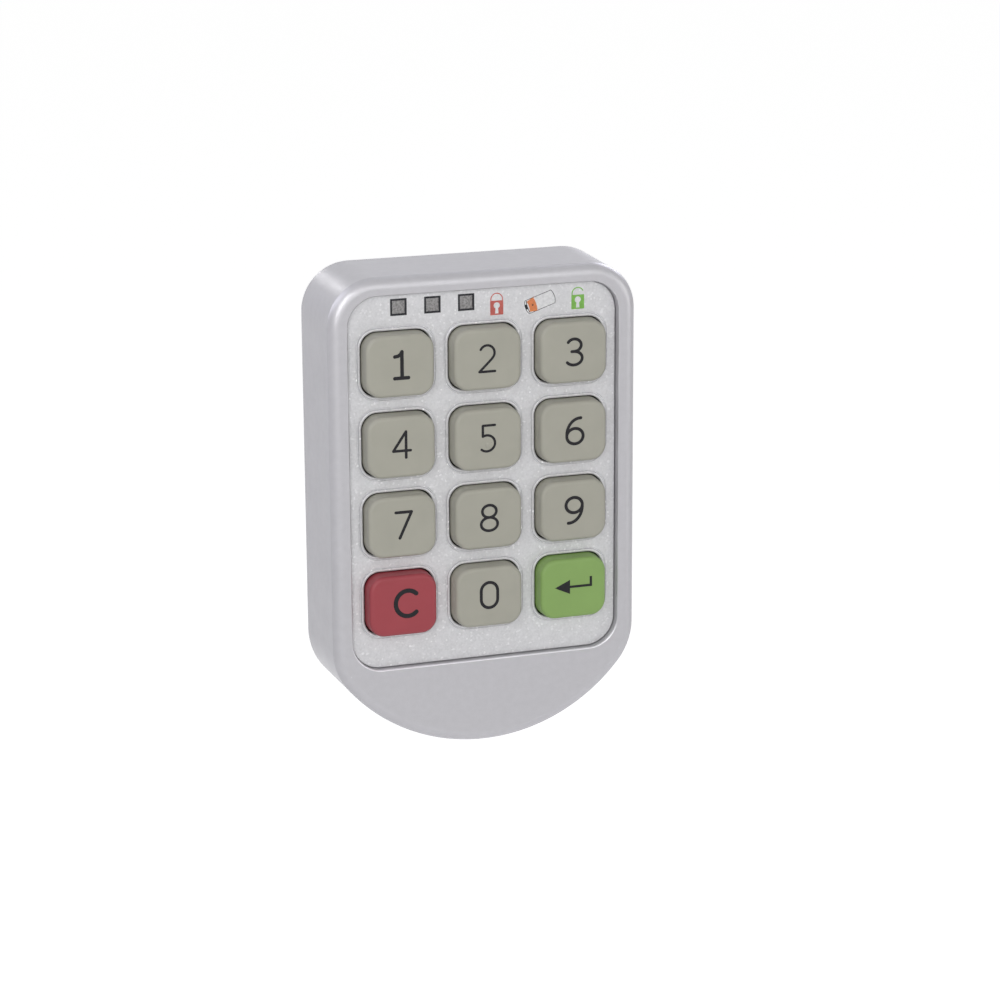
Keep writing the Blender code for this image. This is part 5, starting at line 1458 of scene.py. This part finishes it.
def cross_recess(centre, y, depth, reach):
    """A cross-shaped tool whose wings narrow towards the bottom."""
    half = sizes().lock_fasteners.slot_width / 2
    x, z = centre

    def place(point):
        if point.y > y - depth / 2:
            return point
        return (x + (point.x - x) * 0.55, point.y, z + (point.z - z) * 0.55)

    wings = []
    for across, up in ((reach, half), (half, reach)):
        wings.append(add_box("wing", (x - across, y - depth, z - up), (x + across, y + MM, z + up)))
        move_points(wings[-1], place)
    return fuse(*wings)


def pan_screw(name, node, head_depth, thread_radius):
    """A pan-head screw with a cross recess, over one CAD screw."""
    low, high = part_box(node)
    centre = middle(node)
    radius = (high.x - low.x) / 2
    seat = high.y - head_depth
    dome = head_depth * 0.45
    head = add_rod(name, radius, seat, high.y - dome, centre, 48)
    shape_end(head, quarter_round(dome, 5), 1)
    fuse(head, add_rod(
        "shank", thread_radius, low.y + thread_radius, seat + head_depth * 0.3, centre, 32))
    cut(head, cross_recess(centre, high.y, head_depth * 0.75, radius * 0.58))
    complete(head, LOCK_BODY, "steel_parts", node)


# Name, CAD screw, depth of the head and radius of the thread in mm
SCREWS = (
    ("plate_screw_1", "base_screw_1", 1.0, 1.1), ("plate_screw_2", "base_screw_2", 1.0, 1.1),
    ("plate_screw_3", "base_screw_3", 1.0, 1.1), ("plate_screw_4", "base_screw_4", 1.0, 1.1),
    ("small_cover_screw", "cover_screw", 0.6, 0.7),
    ("circuit_screw_1", "board_screw_1", 1.1, 0.9),
    ("circuit_screw_2", "board_screw_2", 1.1, 0.9),
)


class LOCK_OT_screws(bpy.types.Operator):
    """Models the base screws, the cover screw and the board screws"""
    bl_idname = "lock.screws"
    bl_label = "Screws"

    def execute(self, context):
        for name, node, head_depth, thread_radius in SCREWS:
            pan_screw(name, node, head_depth * MM, thread_radius * MM)
        return {"FINISHED"}


# Camera, lights and floor

def camera_matrix():
    view = sizes().lock_view
    yaw, pitch, roll = view.yaw, view.pitch, view.roll
    forward = Vector((
        math.sin(yaw) * math.cos(pitch), math.cos(yaw) * math.cos(pitch), -math.sin(pitch)))
    right = Vector((math.cos(yaw), -math.sin(yaw), 0.0))
    up = right.cross(forward)
    turned_right = math.cos(roll) * right + math.sin(roll) * up
    turned_up = math.cos(roll) * up - math.sin(roll) * right
    matrix = Matrix((turned_right, turned_up, -forward)).transposed().to_4x4()
    matrix.translation = view.place
    return matrix


WHITE = (1.0, 1.0, 1.0)
COOL = (0.88, 0.885, 1.0)
# Name, direction from the lock, distance and side in metres, power in watts, tint
LAMPS = (
    ("front_lamp", (0.2, -1.0, 0.35), 1.2, 0.7, 2.3, WHITE),
    ("left_front_lamp", (-0.5, -1.0, 0.3), 1.2, 0.5, 4.12, WHITE),
    ("right_lamp", (0.9, -0.6, 0.1), 1.2, 0.6, 2.0, WHITE),
    ("top_right_lamp", (0.7, 0.5, 0.6), 1.2, 0.6, 5.4, COOL),
    ("top_left_lamp", (-0.7, -0.1, 0.7), 0.30, 0.15, 0.15, COOL),
    ("left_lamp", (-0.9, 0.4, 0.5), 0.32, 0.15, 0.16, COOL),
    ("corner_lamp", (-0.45, -0.72, 0.53), 0.50, 0.12, 0.31, WHITE),
    ("left_edge_lamp", (-0.19, 0.91, 0.37), 1.2, 0.13, 0.42, WHITE),
    ("back_lamp", (0.3, 1.0, -0.45), 1.2, 0.6, 2.0, WHITE),
)


def add_light(name, direction, distance, side, power, tint):
    """A soft square lamp that faces the lock."""
    pick_nothing()
    away = Vector(direction).normalized()
    target = Vector((0.0, -0.01, 0.0))
    bpy.ops.object.light_add(type="AREA", location=target + away * distance)
    lamp = named(name)
    lamp.rotation_euler = away.to_track_quat("Z", "Y").to_euler()
    lamp.visible_camera = False
    lamp.data.shape = "SQUARE"
    lamp.data.size = side
    lamp.data.energy = power
    lamp.data.color = tint


def ray_level(tree, seen, mirrored, other):
    """A strength for rays that the camera sees, for reflections and for all other light."""
    path = tree.nodes.new("ShaderNodeLightPath").outputs
    direct = math_node(tree, "MAXIMUM", path["Is Camera Ray"], path["Is Transmission Ray"])
    direct = math_node(tree, "MULTIPLY", direct, seen)
    glossy = math_node(tree, "MULTIPLY", path["Is Glossy Ray"], mirrored)
    return math_node(tree, "MAXIMUM", math_node(tree, "MAXIMUM", direct, glossy), other)


def set_world(light):
    """White wherever the camera looks, and softer in reflections."""
    world = bpy.data.worlds.new("studio")
    bpy.context.scene.world = world
    world.use_nodes = True
    tree = world.node_tree
    back = tree.nodes["Background"]
    back.inputs["Color"].default_value = (1.0, 1.0, 1.0, 1.0)
    tree.links.new(
        ray_level(tree, 1.0, light.mirrored, light.ambient), back.inputs["Strength"])


def floor_finish(light):
    """A white floor that the camera sees as white and that still takes a shadow."""
    material = bpy.data.materials.new("floor")
    material.use_nodes = True
    tree = material.node_tree
    tree.nodes.remove(tree.nodes["Principled BSDF"])
    matt = tree.nodes.new("ShaderNodeBsdfDiffuse")
    matt.inputs["Color"].default_value = (0.8, 0.8, 0.8, 1.0)
    glow = tree.nodes.new("ShaderNodeEmission")
    both = tree.nodes.new("ShaderNodeAddShader")
    for output, target in (
            (ray_level(tree, light.floor_glow, light.mirrored, 0.0), glow.inputs["Strength"]),
            (matt.outputs[0], both.inputs[0]), (glow.outputs[0], both.inputs[1]),
            (both.outputs[0], tree.nodes["Material Output"].inputs["Surface"])):
        tree.links.new(output, target)
    return material


class LOCK_OT_stage(bpy.types.Operator):
    """Sets the camera, the soft lamps and the pale floor"""
    bl_idname = "lock.stage"
    bl_label = "Stage"

    def execute(self, context):
        light = sizes().lock_light
        pick_nothing()
        bpy.ops.object.camera_add()
        camera = named("view_camera")
        camera.matrix_world = camera_matrix()
        camera.data.sensor_width = 36.0
        camera.data.lens = sizes().lock_view.lens
        camera.data.clip_start = 0.01
        camera.data.clip_end = 50.0
        context.scene.camera = camera
        context.scene.view_settings.view_transform = "Standard"
        set_world(light)
        for lamp in LAMPS:
            add_light(*lamp)
        pick_nothing()
        bpy.ops.mesh.primitive_plane_add(
            size=14.0, location=(0, 4.0, HOUSING_LOW.z - light.floor_drop))
        floor = named("floor")
        floor.data.materials.append(floor_finish(light))
        return {"FINISHED"}


class LOCK_PT_panel(bpy.types.Panel):
    """Lists the lock's pieces in the sidebar"""
    bl_label = "Cabinet Lock"
    bl_idname = "LOCK_PT_panel"
    bl_space_type = "VIEW_3D"
    bl_region_type = "UI"
    bl_category = "Cabinet Lock"

    def draw(self, context):
        for operator in OPERATORS:
            self.layout.operator(operator.bl_idname)
        for group, settings in GROUPS.items():
            box = self.layout.box()
            box.label(text=group.__doc__)
            for name in group.__annotations__:
                label = name.replace("_", " ").capitalize()
                box.prop(getattr(context.scene, settings), name, text=label)


GROUPS = {
    HousingSizes: "lock_housing",
    KeySizes: "lock_keys",
    WindowSizes: "lock_windows",
    FastenerSizes: "lock_fasteners",
    Finishes: "lock_finishes",
    StudioLight: "lock_light",
    CameraView: "lock_view",
}
OPERATORS = (
    LOCK_OT_finishes, LOCK_OT_housing, LOCK_OT_film, LOCK_OT_keys, LOCK_OT_legends,
    LOCK_OT_windows, LOCK_OT_pictograms, LOCK_OT_base, LOCK_OT_barrel, LOCK_OT_cam,
    LOCK_OT_screws, LOCK_OT_stage,
)


def register():
    for group, name in GROUPS.items():
        bpy.utils.register_class(group)
        setattr(bpy.types.Scene, name, PointerProperty(type=group))
    for kind in (*OPERATORS, LOCK_PT_panel):
        bpy.utils.register_class(kind)


def unregister():
    for kind in (LOCK_PT_panel, *reversed(OPERATORS)):
        bpy.utils.unregister_class(kind)
    for group, name in reversed(GROUPS.items()):
        delattr(bpy.types.Scene, name)
        bpy.utils.unregister_class(group)


def main():
    register()
    pick_nothing()
    for operator in OPERATORS:
        getattr(bpy.ops.lock, operator.bl_idname.split(".")[1])()


if __name__ == "__main__":
    main()
